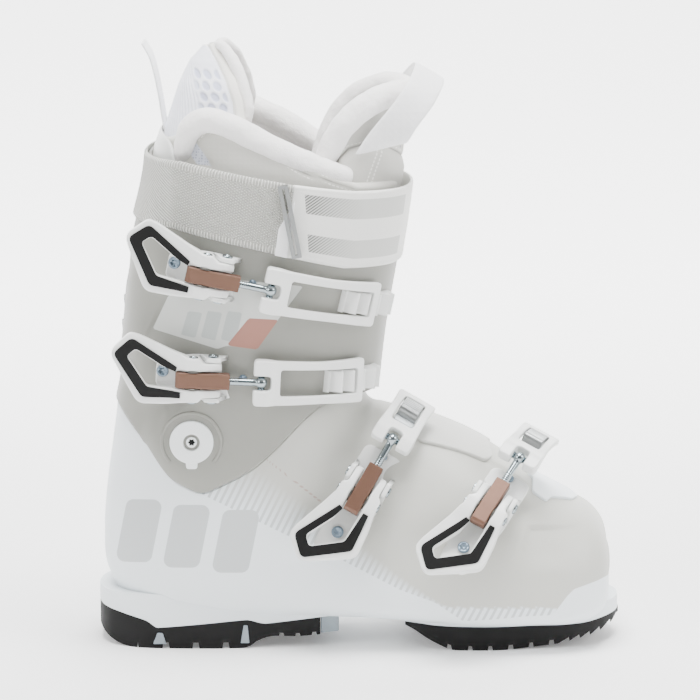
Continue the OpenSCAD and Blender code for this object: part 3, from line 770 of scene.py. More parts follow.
HEEL_PLAN = [[-54.3, 1, 1], [-53.6, 8, 8], [-50.5, 18, 18], [-44, 25.5, 25.5], [-30, 32, 32],
             [-10, 34, 34], [10, 34.4, 34.4], [30, 33.4, 33.4], [50, 32.2, 32.2], [72, 31.4, 31.4],
             [84, 31, 31]]
TOE_PLAN = [[118, 33.5, 37.5], [134, 36, 39.5], [150, 38.2, 41], [170, 38.2, 41], [190, 35.2, 37.8],
            [210, 33.5, 36.3], [222, 29.5, 32.5], [231, 21.5, 24], [237.5, 11, 14.5], [240, 1.5, 5.5]]
SOLE_TOP = [[-55, 21.6], [-46, 20.4], [-34, 17.8], [-27, 15.8], [-23.5, 13.5], [-21.5, 12.2],
            [-18, 12.0], [5, 14.2], [27, 16.2], [32, 16.0], [38, 14.4], [44, 14.4], [72, 17.6], [85, 19]]
SOLE_BOTTOM = [[-55, 9.5], [-50, 5.2], [-43, 1.6], [-36, 0.1], [-30, 0], [22, 0], [31, 1.2], [36, 4.4],
               [44, 6.8], [58, 6.6], [71.5, 7.6]]
TOE_SOLE_TOP = [[118, 15.8], [128, 14.8], [140, 13.8], [180, 13.5], [215, 14.0], [230, 15.2], [241, 15.8]]
TOE_SOLE_BOTTOM = [[118, 14.2], [124, 11.2], [131, 6.6], [138, 3.0], [144, 0.6], [150, 0], [170, 0],
                   [186, 0.9], [205, 3.0], [222, 6.2], [234, 9.4], [241, 13.5]]


def build_heel():
    left, right = plan_edges(HEEL_PLAN)
    ledge = straight([[-55, 31.2], [20, 31.2], [60, 27], [84, 23.5]])
    block = slab("heel_lug_block", -54.2, 83.5, shifted(left, 0.2), shifted(right, -0.2),
                 ledge, profile(SOLE_TOP), "shell", gloss_white, 120, 20, 1.2)
    block.data.materials[0] = plain_white

    def treads(x, y):
        ground = edge_line(SOLE_BOTTOM)(x)
        phase = (x + 24.5) % 17.0
        groove = (np.abs(phase - 8.5) < 1.7) & (np.abs(y) > 9) & (x > -32) & (x < 26)
        lug_gap = (np.abs(y) < 4.5) & (x > -40) & (x < 24)
        front = (np.abs((x % 9.0) - 4.5) < 1.2) & (np.abs(y) > 10) & (x > 46)
        return ground + 3.6 * groove + 2.4 * lug_gap + 1.8 * front
    sole = slab("heel_sole_rubber", -53.9, 71.0, left, right, profile(SOLE_TOP), treads, "shell",
                rubber, 260, 34, 0.5)
    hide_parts("heel_sole")
    spacer = slab("heel_spacer_block", 71.3, 81.5, lambda x: left(x) + 2 + (x - 71) * 0.12,
                  lambda x: right(x) - 2 - (x - 71) * 0.12, straight([[71, 17.2], [82, 18.6]]),
                  straight([[71, 7.7], [82, 8.4]]), "shell", spacer_plastic, 12, 12, 0.7)
    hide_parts("heel_spacer")


def build_sole_windows():
    """Small translucent blocks that show through notches in the heel sole's sides."""
    for side in (-1, 1):
        for k, outline in enumerate(([[-23, 2.6], [-15.6, 2.6], [-17.6, 9], [-20.6, 9]],
                                     [[26.2, 3], [31.2, 3], [30.2, 13.4], [28, 13.4]])):
            def place(u, v, h):
                return np.stack([u, side * h, v], axis=-1)
            piece = plate(f"sole_window_{k}_{side + 1}", filleted(outline, 0.6), [], 31.5,
                          34.45 - 0.35 * k, "shell", spacer_plastic, 0.3, (), place)


def build_toe():
    left, right = plan_edges(TOE_PLAN)
    block = slab("toe_lug_block", 118.5, 239.8, shifted(left, 0.3), shifted(right, -0.3),
                 straight([[118, 22], [150, 23.8], [241, 23.8]]), profile(TOE_SOLE_TOP), "shell",
                 gloss_white, 120, 20, 1.2)
    block.data.materials[0] = plain_white

    def treads(x, y):
        ground = edge_line(TOE_SOLE_BOTTOM)(x)
        saw = ((x - 205) % 6.0) / 6.0
        teeth = np.where(x > 205, 2.6 * saw * (np.abs(y) > 3), 0)
        groove = (np.abs(((x - 138) % 11.5) - 5.75) < 1.2) & (np.abs(y) > 11) & (x > 138) & (x < 205)
        spine = (np.abs(y) < 3.5) & (x > 142) & (x < 225)
        return ground + teeth + 2.6 * groove + 2.2 * spine
    sole = slab("toe_sole_rubber", 118.8, 240.3, left, right, profile(TOE_SOLE_TOP), treads, "shell",
                rubber, 270, 34, 0.5)
    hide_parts("toe_sole")


build_heel()
build_toe()


# ------------------------------------------------------------------ the cuff
CUFF_WALL = 3.0
PATCH = [[-12.4, 191], [-21.4, 172.8], [14.6, 161.6], [19.7, 163.3], [36, 162], [50, 180], [62, 196],
         [20, 200]]
ACCENT = [[32.1, 178.5], [48.4, 177.6], [36.6, 161.2], [19.7, 163.5]]
BLOCKS = [[[-1.5 + d, 182.5], [6.5 + d, 181.5], [2.5 + d, 167.5 - 0.12 * d], [-5.5 + d, 169.5 - 0.12 * d]]
          for d in (0.0, 11.0, 22.0)]
BOSS_FACE = 49.9


def lean(grid):
    """The top of the cuff's rear leans forward, and the strap round it with it."""
    grid = grid.copy()
    grid[..., 0] += 4.2 * ease(5, 36, -grid[..., 0]) * ease(226, 272, grid[..., 2])
    return grid


def cuff_relief(p):
    """The cuff's creases behind the pivot and its raised rear spine."""
    x, v = p[..., 0], side_height(p)
    lower = np.interp(v, [100, 110, 134, 150], [-31, -24.2, -6.8, 5])
    upper = np.interp(v, [160, 173, 192, 215], [-29, -21.7, -11.3, 1])
    spine = 1.3 * ease(0, 2.2, lower - x) * (1 - ease(134, 148, v))
    spine += 1.2 * ease(0, 2.2, upper - x) * ease(155, 165, v) * (1 - ease(196, 210, v))
    return spine


def build_cuff():
    s = columns(161)
    outer, mid, inner = (level_surface(CUFF, d) for d in (0.0, CUFF_WALL / 2, CUFF_WALL))
    search = np.linspace(88, 292, 900)
    probe = outer(search[:, None], s[None, :])
    bottom = crossing(probe[..., 2] - edge_line(CUFF_LOWER_EDGE)(probe[..., 0]), search)
    top = crossing(probe[..., 2] - edge_line(CUFF_UPPER_EDGE)(probe[..., 0]), search)
    z = bottom + (top - bottom) * np.linspace(0, 1, 96)[:, None]
    skin = outer(z, s[None, :])
    skin = skin + normals(skin) * cuff_relief(skin)[..., None]
    from_pivot = np.hypot(skin[..., 0], skin[..., 2] - PIVOT_Z)
    w = 1 - ease(16, 30, from_pivot)
    skin[..., 1] = np.sign(skin[..., 1]) * (np.abs(skin[..., 1]) * (1 - w) + BOSS_FACE * w)
    grid = np.concatenate([skin, mid(top + 0.9, s)[None], inner(z, s[None, :])[::-1],
                           mid(bottom - 0.9, s)[None]])
    grid = lean(grid)
    piece = closed_tube("cuff_skin", grid, "cuff", cuff_material())
    x, v = grid[..., 0], side_height(grid)
    note_print(piece, grid, "patch", distance_inside(x, v, PATCH))
    note_print(piece, grid, "accent", distance_inside(x, v, ACCENT))
    note_print(piece, grid, "blocks", inside_any(x, v, BLOCKS))
    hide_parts("cuff")


build_cuff()


def build_spoiler():
    """Glossy shield above the strap at the rear, leaning in towards its rounded top."""
    top_of = edge_line([[-30, 292], [-19, 291.6], [-11, 288], [-6, 277], [-3, 264], [0, 262]])
    inner = level_surface(CUFF, CUFF_WALL + 3.0)
    reach = float(abs(s_at_x(inner, 270.0, -4.0)))
    q = np.linspace(-1, 1, 71)
    s = np.where(q < 0, -1, 1) * (1 - (1 - reach) * np.abs(q))
    s[len(s) // 2] = 1.0
    rows, thick = 34, 2.2
    grid = []
    for k in np.linspace(0, 1, rows):
        outside, inside = [], []
        for sj in s:
            x = float(inner(280.0, sj)[..., 0])
            z = 262 + (float(top_of(x)) - 262) * k
            away = CUFF_WALL + 0.3 + 4.5 * float(ease(278, 296, z)) * float(ease(8, 26, -x))
            lip = thick * math.sqrt(max(0.0, 1 - ((k - 0.88) / 0.12) ** 2)) if k > 0.88 else thick
            outside.append(level_surface_point(z, sj, away + (thick - lip) / 2))
            inside.append(level_surface_point(z, sj, away + (thick + lip) / 2))
        grid.append(np.array(outside + inside[::-1]))
    grid = lean(np.array(grid))
    piece = capped("spoiler_shield", refine(grid, 2, 1, around=True), "cuff", gloss_white)
    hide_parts("cuff_spoiler")


SPOILER_DEPTH = 12.0
SPOILER_LAYERS = [level_surface(CUFF, d) for d in (0.0, SPOILER_DEPTH)]


def level_surface_point(z, s, inset):
    """A point a given depth inside the cuff's outer surface."""
    a, b = (layer(z, s) for layer in SPOILER_LAYERS)
    return np.asarray(a + (b - a) * inset / SPOILER_DEPTH).reshape(3)


def s_at_x(surface, z, x, side=-1):
    """Column place of a level surface where it reaches x at height z."""
    places = np.linspace(0, 1, 500)
    z, x = np.broadcast_arrays(np.asarray(z, float), np.asarray(x, float))
    out = np.empty(z.shape)
    for i in np.ndindex(z.shape):
        xs = surface(np.full(500, z[i]), places)[:, 0]
        out[i] = side * np.interp(-x[i], -xs, places)
    return out


# ------------------------------------------------------------------ the power strap
STRAP_OUT, STRAP_IN = 2.5, 0.3
REAR_BOTTOM = straight([[-60, 244], [-10, 243], [57, 228.5]])
REAR_TOP = straight([[-60, 279], [-10, 280], [49, 269.5], [57, 268]])
FRONT_BOTTOM = straight([[50, 229], [60.5, 227.5], [90, 221], [130, 219]])
FRONT_TOP = straight([[50, 269.3], [52.5, 269], [90, 264], [130, 262]])


def rear_strap_material():
    """Woven strap: slanted ribs that change direction at its middle, and laddered edges, with painted shade
    in the low places of the relief.
    """
    material = new_material("strap_woven", srgb(214, 214, 208), 0.8, Sheen_Weight=0.3)
    along, up, flip, rim = (attribute(material, name) for name in ("along", "up", "flip", "rim"))
    slant = times(material, up, 1.7)
    ribs, other = (math_node(material, "SINE", times(material, math_node(material, sign, along, slant), 2.3))
                   for sign in ("ADD", "SUBTRACT"))
    weave = mix_value(material, flip, other, math_node(material, "MINIMUM", ribs, other))
    rungs = math_node(material, "SINE", times(material, along, 3.6))
    height = mix_value(material, rim, weave, rungs)
    add_bump(material, noise_out(material, 2500, 3), 0.25, 0.3)
    add_bump(material, height, 0.9, 0.45)
    # painted shade: the colour darkens where the weave and the rungs sit low
    groove_shade = times(material, minus(material, 1.0, height, True), 0.75, True)
    tone = mix_color(material, noise_out(material, 90, 4), srgb(222, 222, 216), srgb(230, 230, 224))
    paint(material, mix_color(material, groove_shade, tone, srgb(140, 140, 132)))
    return material


def front_strap_material():
    """Coated strap: welded rims and two printed bands of hatching that fade to the front."""
    material = moulded("strap_coated", srgb(226, 226, 222), 0.5, 1.6)
    band = mask(material, "band", 0.15)
    tone = mix_color(material, band, color_of(material), srgb(188, 189, 185))
    hatch = math_node(material, "SINE", times(material, attribute(material, "hatch"), 3.3))
    lines = edge_mask(material, hatch, 0.3)
    inked = times(material, times(material, lines, band), attribute(material, "ink"), True)
    paint(material, mix_color(material, inked, tone, srgb(86, 86, 82)))
    add_bump(material, hatch, 0.15, 0.2)
    return material


def strap_grid(s_path, bottom_line, top_line, low, high, rows):
    """Rings across a strap for each place along s_path: its outer face, then its inner face."""
    out_face, in_face = level_surface(CUFF, -high), level_surface(CUFF, -low)
    rings = []
    for s in s_path:
        x = out_face(255.0, s)[..., 0]
        b, t = bottom_line(x), top_line(x)
        z = b + (t - b) * np.linspace(0, 1, rows)
        edge = np.minimum(z - b, t - z)
        outer = out_face(z, s)
        inner = in_face(z, s)
        f = ((1 - ease(0, 1.2, edge)) * 0.5)[:, None]      # the edges are rounded
        outer = outer * (1 - f) + inner * f
        rings.append(np.concatenate([outer, inner[::-1]]))
    return np.array(rings)


def build_strap():
    face = level_surface(CUFF, -STRAP_OUT)
    s_slider = float(s_at_x(face, 250.0, 54.9))
    s_far = abs(s_slider)
    # Rear: from the slider on the -Y side, round the heel side, to the +Y side.
    rows, half = 60, 190
    path = np.concatenate([np.linspace(s_slider, -1, half), np.linspace(1, s_far, half)[1:]])
    grid = lean(strap_grid(path, REAR_BOTTOM, REAR_TOP, STRAP_IN, STRAP_OUT, rows))
    piece = capped("strap_rear_woven", grid, "cuff", rear_strap_material())
    along = np.repeat(run_along(grid[:, rows // 2])[:, None], 2 * rows, axis=1)
    x = grid[..., 0]
    b, t = REAR_BOTTOM(x), REAR_TOP(x)
    up = grid[..., 2] - b
    note(piece, "along", along)
    note(piece, "up", up)
    note(piece, "rim", 1 - ease(3.2, 3.6, np.minimum(up, t - grid[..., 2])))
    note(piece, "flip", ease(-14, -2, x) * (grid[..., 1] < 0))
    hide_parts("strap_rear")
    # Front: from the slider, round the shin side, to the +Y side.
    half = 170
    path = np.concatenate([np.linspace(s_slider, 0, half), np.linspace(0, s_far, half)[1:]])
    path[:half] = -np.abs(path[:half])
    grid = strap_grid(path, FRONT_BOTTOM, FRONT_TOP, STRAP_IN, STRAP_OUT, rows)
    b, t = FRONT_BOTTOM(grid[..., 0]), FRONT_TOP(grid[..., 0])
    share = (t - grid[..., 2]) / (t - b)
    rim = np.minimum(grid[..., 2] - b, t - grid[..., 2])
    outward = unit(np.stack([grid[..., 0] - 45, grid[..., 1] * 1.4, np.zeros_like(share)], axis=2))
    face_side = np.zeros(grid.shape[:2])
    face_side[:, :rows] = 1
    weld = -0.35 * valley(rim - 1.8, 0.4)
    grid = grid + outward * (weld * face_side)[..., None]
    piece = capped("strap_front_coated", grid, "cuff", front_strap_material())
    along = np.repeat(run_along(grid[:, rows // 2])[:, None], 2 * rows, axis=1)
    height = grid[..., 2] - b
    starts = along - (5.5 + 11 * share * 0.75)
    ends = 74 - along
    one = np.minimum.reduce([share - 0.10, 0.36 - share]) * (t - b)
    two = np.minimum.reduce([share - 0.64, 0.88 - share]) * (t - b)
    note(piece, "band", np.minimum.reduce([np.maximum(one, two), starts, ends]))
    note(piece, "hatch", along - height)
    note(piece, "ink", np.clip(1.15 - (along - 8) / 30, 0.0, 1) ** 1.3)
    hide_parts("strap_front")
    # White webbing that folds back through the slider.
    path = np.linspace(s_slider * 0.985, s_slider * 1.055, 12)
    tab = strap_grid(path, lambda x: REAR_BOTTOM(x) - 0.4, lambda x: REAR_BOTTOM(x) + 26 - (55 - x) * 2.4,
                     STRAP_OUT, STRAP_OUT + 0.7, 16)
    piece = capped("strap_fold_webbing", tab, "cuff", webbing)


build_strap()


# ------------------------------------------------------------------ padded parts of the liner
def refine(grid, down, across, around=False):
    """The same smooth surface with down and across times as many steps."""
    def along_rows(g, k):
        steps = (len(g) - 1) * k + 1
        rows = row_at(g.reshape(len(g), -1), np.linspace(0, len(g) - 1, steps))
        return rows.reshape((steps,) + g.shape[1:])
    out = along_rows(grid, down)
    if around:
        wide = np.concatenate([out[:, -3:], out, out[:, :4]], axis=1)
        wide = np.swapaxes(along_rows(np.swapaxes(wide, 0, 1), across), 0, 1)
        return wide[:, 3 * across:(3 + out.shape[1]) * across]
    return np.swapaxes(along_rows(np.swapaxes(out, 0, 1), across), 0, 1)


SIM_SCALE = 10      # the cloth is simulated at ten times its size
SIM_FRAMES = 14


def puffed(grid, pressure, most):
    """Cloth simulation of a stuffed closed form; each point moves at most this many millimetres."""
    rows, cols = grid.shape[:2]
    mesh = bpy.data.meshes.new("sim")
    mesh.from_pydata((grid.reshape(-1, 3) * MM * SIM_SCALE).tolist(), [], capped_faces(rows, cols))
    bm = bmesh.new()
    bm.from_mesh(mesh)
    bmesh.ops.recalc_face_normals(bm, faces=bm.faces)
    bmesh.ops.triangulate(bm, faces=[f for f in bm.faces if len(f.verts) > 4])
    bm.to_mesh(mesh)
    bm.free()
    form = placed(bpy.data.objects.new("sim", mesh))
    scene = bpy.context.scene
    settings = form.modifiers.new("cloth", "CLOTH").settings
    for key, value in (("quality", 5), ("mass", 0.3), ("use_pressure", True),
                       ("uniform_pressure_force", pressure), ("tension_stiffness", 12),
                       ("compression_stiffness", 12), ("bending_stiffness", 0.4), ("shrink_min", -0.03)):
        setattr(settings, key, value)
    settings.effector_weights.gravity = 0
    for frame_number in range(1, SIM_FRAMES + 1):
        scene.frame_set(frame_number)
    seen = form.evaluated_get(bpy.context.evaluated_depsgraph_get())
    puffed_up = np.empty(rows * cols * 3)
    seen.data.vertices.foreach_get("co", puffed_up)
    moved = puffed_up.reshape(rows, cols, 3) / (MM * SIM_SCALE) - grid
    scene.frame_set(1)
    bpy.data.objects.remove(form)
    size = np.linalg.norm(moved, axis=2, keepdims=True)
    return grid + moved * np.minimum(1, most / np.maximum(size, 1e-6))


def stitched_cloth(name, color):
    """Liner fabric whose seams and stitches come from stored numbers; the seams are darkened as painted shade
    in their grooves.
    """
    material = cloth(name, color, 0.45, 0.15, 0.15)
    net = mix_color(material, dots(material, 620, 0.1, 0.34, 0.08), srgb(222, 226, 238), srgb(176, 181, 200))
    tone = mix_color(material, mask(material, "vent", 0.4), color_of(material), net)
    # painted shade: darker along the seams, where the cloth dips into a groove
    tone = mix_color(material, times(material, mask(material, "seam", 0.25), 0.6), tone, srgb(120, 119, 112))
    dash = math_node(material, "FRACT", attribute(material, "run"))
    dash = edge_mask(material, minus(material, dash, 0.35), 0.1)
    thread = times(material, mask(material, "stitch", 0.2), dash)
    paint(material, mix_color(material, thread, tone, srgb(240, 239, 235)))
    return material


# Shaft: padded wall that shows above the strap.
SHAFT_TOP = straight([[-40, 286], [-22, 287], [-16, 290], [-8, 296], [6, 301], [23, 296], [43, 286.5],
                      [60, 277.5], [77, 270], [92, 264.5], [125, 262]])
SHAFT_SEAM = [[-6, 268], [8, 282], [24, 279], [44, 270], [62, 258], [90, 250]]
VENT = [[-5.5, 276.5], [3.5, 263], [12, 262], [-2.5, 283]]


def build_shaft():
    s = columns(71)
    outer, inner = level_surface(SHAFT, 0.2), level_surface(SHAFT, 6.8)
    x = outer(262.0, s)[..., 0]
    top = SHAFT_TOP(x)
    z = 150 + (top - 150) * np.linspace(0, 1, 40)[:, None]
    rim = level_surface(SHAFT, 3.5)(top + 2.2, s)
    grid = np.concatenate([outer(z, s[None, :]), rim[None], inner(z, s[None, :])[::-1],
                           level_surface(SHAFT, 3.5)(np.full(len(s), 148.5), s)[None]])
    fine = refine(grid, 2, 2, around=True)
    xx, v = fine[..., 0], side_height(fine)
    gap, run = polyline_distance(xx, v, SHAFT_SEAM)
    vent = distance_inside(xx, v, VENT)
    outer_rows = 80
    skin = np.arange(fine.shape[0])[:, None] < outer_rows
    push = (-0.8 * valley(gap, 0.9) - 0.9 * ease(-0.8, 0.6, vent)) * skin
    fine = fine + normals(fine) * push[..., None]
    piece = closed_tube("liner_shaft_wall", fine, "cuff", stitched_cloth("liner_fabric", srgb(204, 203, 196)))
    piece.data.materials.append(plush)
    for k, face in enumerate(piece.data.polygons):
        face.material_index = int(k // fine.shape[1] > outer_rows)
    note(piece, "vent", vent)
    note(piece, "seam", 0.5 - gap)
    note(piece, "stitch", 0.35 - np.abs(gap - 1.8))
    note(piece, "run", run / 2.4)
    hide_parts("liner_shaft")


FOOT_FLOOR = edge_line([[-70, 40], [60, 38], [120, 31], [236, 27]])
FOOT_TOP = edge_line([[-70, 123], [0, 123], [100, 111.5], [240, 109.5]])


def build_foot_liner():
    """The liner's padded foot: open at the ankle, closed along a seam on its crest."""
    outer, inner = shell_surface(SHELL_TUCKED, 5.2), shell_surface(SHELL_TUCKED, 9.6)
    t = np.linspace(0.4, len(SHELL_TUCKED) - 1.6, 88)
    places = np.linspace(0.012, 0.97, 240)
    probe = outer(t[None, :], places[:, None])
    start = crossing(FOOT_TOP(probe[..., 0]) - probe[..., 2], places)
    q = np.linspace(-1, 1, 81)
    s = np.where(q < 0, -1, 1)[None, :] * (1 - (1 - start[:, None]) * np.abs(q)[None, :])
    skin, lining = outer(t[:, None], s), inner(t[:, None], s)
    skin[..., 2] = np.maximum(skin[..., 2], FOOT_FLOOR(skin[..., 0]) + 0.3)
    lining[..., 2] = np.maximum(lining[..., 2], FOOT_FLOOR(lining[..., 0]) + 1.8)
    edge = np.clip((1 - np.abs(q)) / 0.05, 0, 1)
    full = np.sqrt(1 - (1 - edge) ** 2)[None, :, None]
    middle = (skin + lining) / 2
    grid = closed_rings(middle + (skin - middle) * full, middle + (lining - middle) * full)
    piece = capped("liner_foot_padded", refine(grid, 2, 1, around=True), "shell", liner_cloth)
    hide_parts("liner_foot")


def mirrored(half):
    """A route that ends on the middle plane, carried on to the other side."""
    return half + [[p[0], -p[1], p[2]] for p in half[::-1][1:]]


def tube_along(route, radius, rows, around):
    """Round rings along a smooth route, closing to a dome at both ends."""
    route = row_at(np.asarray(route, float), np.linspace(0, len(route) - 1, rows))
    t = unit(np.gradient(route, axis=0))
    side = unit(np.cross(t, [0, 0, 1.0]))
    up = np.cross(side, t)
    a = angles(around)
    f = np.linspace(0, 1, rows)
    run = run_along(route)
    to_end = np.minimum(run, run[-1] - run)
    r = np.interp(f, np.linspace(0, 1, len(radius)), radius)
    r = r * np.sqrt(np.clip(1 - (1 - np.minimum(to_end / r, 1)) ** 2, 0.03, 1))
    return (route[:, None, :] + r[:, None, None] * (np.cos(a)[None, :, None] * side[:, None, :]
                                                   + np.sin(a)[None, :, None] * up[:, None, :]))


def build_collar():
    base = [[-3, -31, 276], [-2.5, -36, 287], [1, -39, 296.5], [9, -41.5, 302], [20, -42.5, 299.5],
            [36, -43, 291.5], [54, -43, 282.5], [74, -39.5, 273.5], [88, -33, 267.5]]
    for side in (1, -1):
        route = [[p[0], p[1] * side, p[2] + (3 if side < 0 and p[0] < 60 else 0)] for p in base]
        grid = tube_along(route, [4.6, 5.6, 6.4, 6.6, 6.5, 6.6, 6.6, 6.4, 6.0], 46, 20)
        fine = refine(puffed(grid, 3.0, 0.9), 3, 3, around=True)
        bumps = rough(fine, 9, 3.0 * side) * 0.55 + rough(fine, 3.2, 8.0) * 0.22
        fine = fine + normals(fine) * bumps[..., None]
        piece = capped("collar_roll_" + ("near" if side > 0 else "far"), fine, "cuff", plush)
    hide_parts("liner_collar")
    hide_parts("liner_collar")


CALF = [[262, -19, 72, 41, 2.2], [286, -17, 62, 38, 2.2], [303, -12, 54, 34, 2.2],
        [318, -7, 45, 28, 2.2], [330, -1, 36, 15, 2.2], [338, 6, 28, 3.5, 2.2]]
CALF_FRONT = straight([[262, 30], [290, 31.5], [300, 31], [311, 29], [322, 25], [331, 20], [338.5, 15]])


def build_calf_panel():
    """Tall padded flap behind the calf: dimpled outside, piped front edge, plush inside."""
    rows, half = 30, 40
    bottom, top = 264, 338
    outer, inner = level_surface(CALF, 0.3), level_surface(CALF, 7.0)
    z = bottom + (top - bottom) * (1 - (1 - np.linspace(0, 1, rows)) ** 1.4)
    grid = []
    for zi in z:
        s0 = float(abs(s_at_x(outer, zi, CALF_FRONT(zi))))
        u = np.linspace(-1, 1, 2 * half - 1)
        s = np.where(u < 0, -1, 1) * (1 - (1 - s0) * np.abs(u))
        s[half - 1] = 1.0
        thin = 0.5 + 6.2 * math.sqrt(max(0.0, 1 - ((zi - 262) / 77) ** 6))
        a, b = outer(np.full(len(s), zi), s), inner(np.full(len(s), zi), s)
        away = (b - a) / 6.7 * thin
        f = np.sqrt(np.clip(1 - ((np.abs(u) - 0.93) / 0.07).clip(0) ** 2, 0, 1))[:, None]
        middle = a + away / 2
        grid.append(np.concatenate([middle - away / 2 * f, (middle + away / 2 * f)[::-1]]))
    fine = refine(puffed(np.array(grid), 3.0, 1.2), 4, 4, around=True)
    cols = fine.shape[1]
    skin = (np.arange(cols) < cols // 2)[None, :]
    zz = fine[..., 2]
    run = run_along(fine[:, :cols // 2])
    place = closed_rings(run, run)
    from_edge = np.minimum(place, run[:, -1:] - place)
    # dimples in staggered rows, then fine ribs round the rear, and piping along the edge
    pitch = 6.6
    row_step = pitch * 0.87
    row_index = np.floor(zz / row_step)
    hole = np.hypot((from_edge + (row_index % 2) * pitch / 2) % pitch - pitch / 2,
                    zz % row_step - row_step / 2)
    field = ease(9.0, 10.5, from_edge) * ease(270, 275, zz) * ease(0, 2, 328 - zz)
    dimple = -0.85 * (1 - ease(2.0, 2.7, hole)) * field
    ribs = 0.25 * np.cos(from_edge * 2 * math.pi / 2.6) * ease(24, 30, from_edge)
    dimple = dimple * (1 - ease(24, 30, from_edge)) + ribs
    groove = -1.0 * valley(from_edge - 7.6, 0.7)
    tube = 1.2 * np.sqrt(np.clip(1 - ((from_edge - 3.6) / 3.6) ** 2, 0, 1))
    push = np.where(skin, dimple + groove + tube, rough(fine, 5, 1.0) * 0.4)
    fine = fine + normals(fine) * push[..., None]
    piece = capped("calf_flap", fine, "cuff", mesh_cloth_fine)
    piece.data.materials.append(plush)
    piece.data.materials.append(piping)
    plush_slot, piping_slot, piping_width = 1, 2, 7.4
    for k, face in enumerate(piece.data.polygons):
        i, j = divmod(k, cols)
        if i >= len(fine) - 1:
            face.material_index = piping_slot
        elif not skin[0, j]:
            face.material_index = plush_slot
        elif from_edge[i, j] < piping_width:
            face.material_index = piping_slot
    # depth of the dimples, which the material turns into painted shade
    note(piece, "hollow", np.where(skin, -dimple, 0))
    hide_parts("calf_pad")
    # the plush lining that shows in front of the piping
    route = mirrored([[30, -27, 296], [31.5, -26.5, 306], [29, -23, 318], [24, -17, 330], [18, -9, 337.5],
                      [15, 0, 337.5]])
    radii = [2.4, 3.2, 3.3, 3.2, 2.9, 2.6, 2.9, 3.2, 3.3, 3.2, 2.4]
    roll = refine(puffed(tube_along(route, radii, 60, 12), 2.0, 0.5), 3, 3, around=True)
    roll = roll + normals(roll) * (rough(roll, 5, 2.0) * 0.4)[..., None]
    roll[..., 2] = np.minimum(roll[..., 2], 340.6)
    piece = capped("calf_flap_lining", roll, "cuff", plush)


mesh_cloth_fine = cloth("dimpled_mesh", srgb(236, 238, 246), 0.8, 0.35, 0.2)
# painted shade: the dimpled mesh goes darker, with a bluer tint, with the depth of each dimple
hollow_shade = times(mesh_cloth_fine, attribute(mesh_cloth_fine, "hollow"), 0.9, True)
paint(mesh_cloth_fine, mix_color(mesh_cloth_fine, hollow_shade, color_of(mesh_cloth_fine), srgb(178, 183, 208)))

# Tongue: its near edge as seen from the side, and the line where it leaves the cuff.
TONGUE_EDGE = [[70, -24, 262], [75, -28, 279], [83, -30, 295], [94, -27.5, 306], [107, -20, 312],
               [117, -9, 312.5], [120, 0, 311]]
TONGUE_FOOT = [[66, -26, 205], [76, -31, 205], [84, -32, 205], [91, -27, 205], [96, -19, 205],
               [99.5, -9, 205], [100.5, 0, 205]]
TONGUE_PAD = [[80, 232], [78, 256], [81, 266], [87, 272], [96, 274.5], [108, 274], [116, 270.5],
              [121, 265], [122.5, 232]]


def build_tongue():
    edge = row_at(np.array(mirrored(TONGUE_EDGE), float), np.linspace(0, 12, 60))
    foot = row_at(np.array(mirrored(TONGUE_FOOT), float), np.linspace(0, 12, 60))
    f = np.linspace(0, 1, 34)[:, None, None]
    face = foot[None] * (1 - f) + edge[None] * f
    belly = np.sin(f[..., 0] * math.pi) * 3.0
    n = unit(np.cross(np.gradient(face, axis=1), np.gradient(face, axis=0)))
    if (n * (face - np.array([70, 0, 260]))).sum() < 0:
        n = -n
    face = face + n * belly[..., None]
    thick = 6.5
    fine = refine(puffed(closed_rings(face, face - n * thick), 3.0, 1.0), 4, 4, around=True)
    cols = fine.shape[1]
    skin = (np.arange(cols) < cols // 2)[None, :]
    x, v = fine[..., 0], side_height(fine)
    pad = distance_inside(x, v, TONGUE_PAD)
    gap, run = polyline_distance(x, v, [[104.5, 274.5], [100, 262], [96, 250], [92, 235]])
    push = 2.0 * ease(0, 5, pad) - 1.1 * valley(pad, 0.7) - 0.5 * valley(gap, 0.6) * (pad > 0)
    perf = distance_inside(x, v, [[110, 276], [123, 270], [127, 282], [123, 292], [112, 289]])
    push = np.where(skin, push, rough(fine, 6, 4.0) * 0.5)
    fine = fine + normals(fine) * push[..., None]
    piece = capped("tongue_body", fine, "cuff", tongue_cloth())
    piece.data.materials.append(plush)
    for k, face in enumerate(piece.data.polygons):
        face.material_index = 0 if skin[0, k % cols] else 1
    run_pad = polyline_distance(x, v, TONGUE_PAD[1:-1])[1]
    note(piece, "seam", 0.55 - np.abs(pad))
    note(piece, "stitch", np.where(pad > 0, 0.3 - np.abs(gap - 1.2), 0.3 - np.abs(-pad - 1.5)))
    note(piece, "run", np.where(pad > 0, run, run_pad) / 2.2)
    note(piece, "perf", perf)
    note(piece, "vent", np.full(fine.shape[:2], FAR_OUTSIDE))
    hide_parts("liner_tongue")
    roll = tube_along(mirrored(TONGUE_EDGE), [5.6, 6.6, 7, 6.8, 6.2, 6.8, 7, 6.6, 5.6], 80, 18)
    roll = refine(puffed(roll, 3.0, 0.9), 3, 3, around=True)
    roll = roll + normals(roll) * (rough(roll, 8, 5.0) * 0.5 + rough(roll, 3, 9.0) * 0.2)[..., None]
    piece = capped("tongue_roll", roll, "cuff", plush)


def tongue_cloth():
    """The liner's fabric with a perforated zone."""
    material = stitched_cloth("tongue_fabric", srgb(200, 199, 193))
    holes = times(material, dots(material, 330, 0.15, 0.30, 0.05), mask(material, "perf", 0.2))
    paint(material, mix_color(material, holes, color_of(material), srgb(150, 152, 158)))
    return material


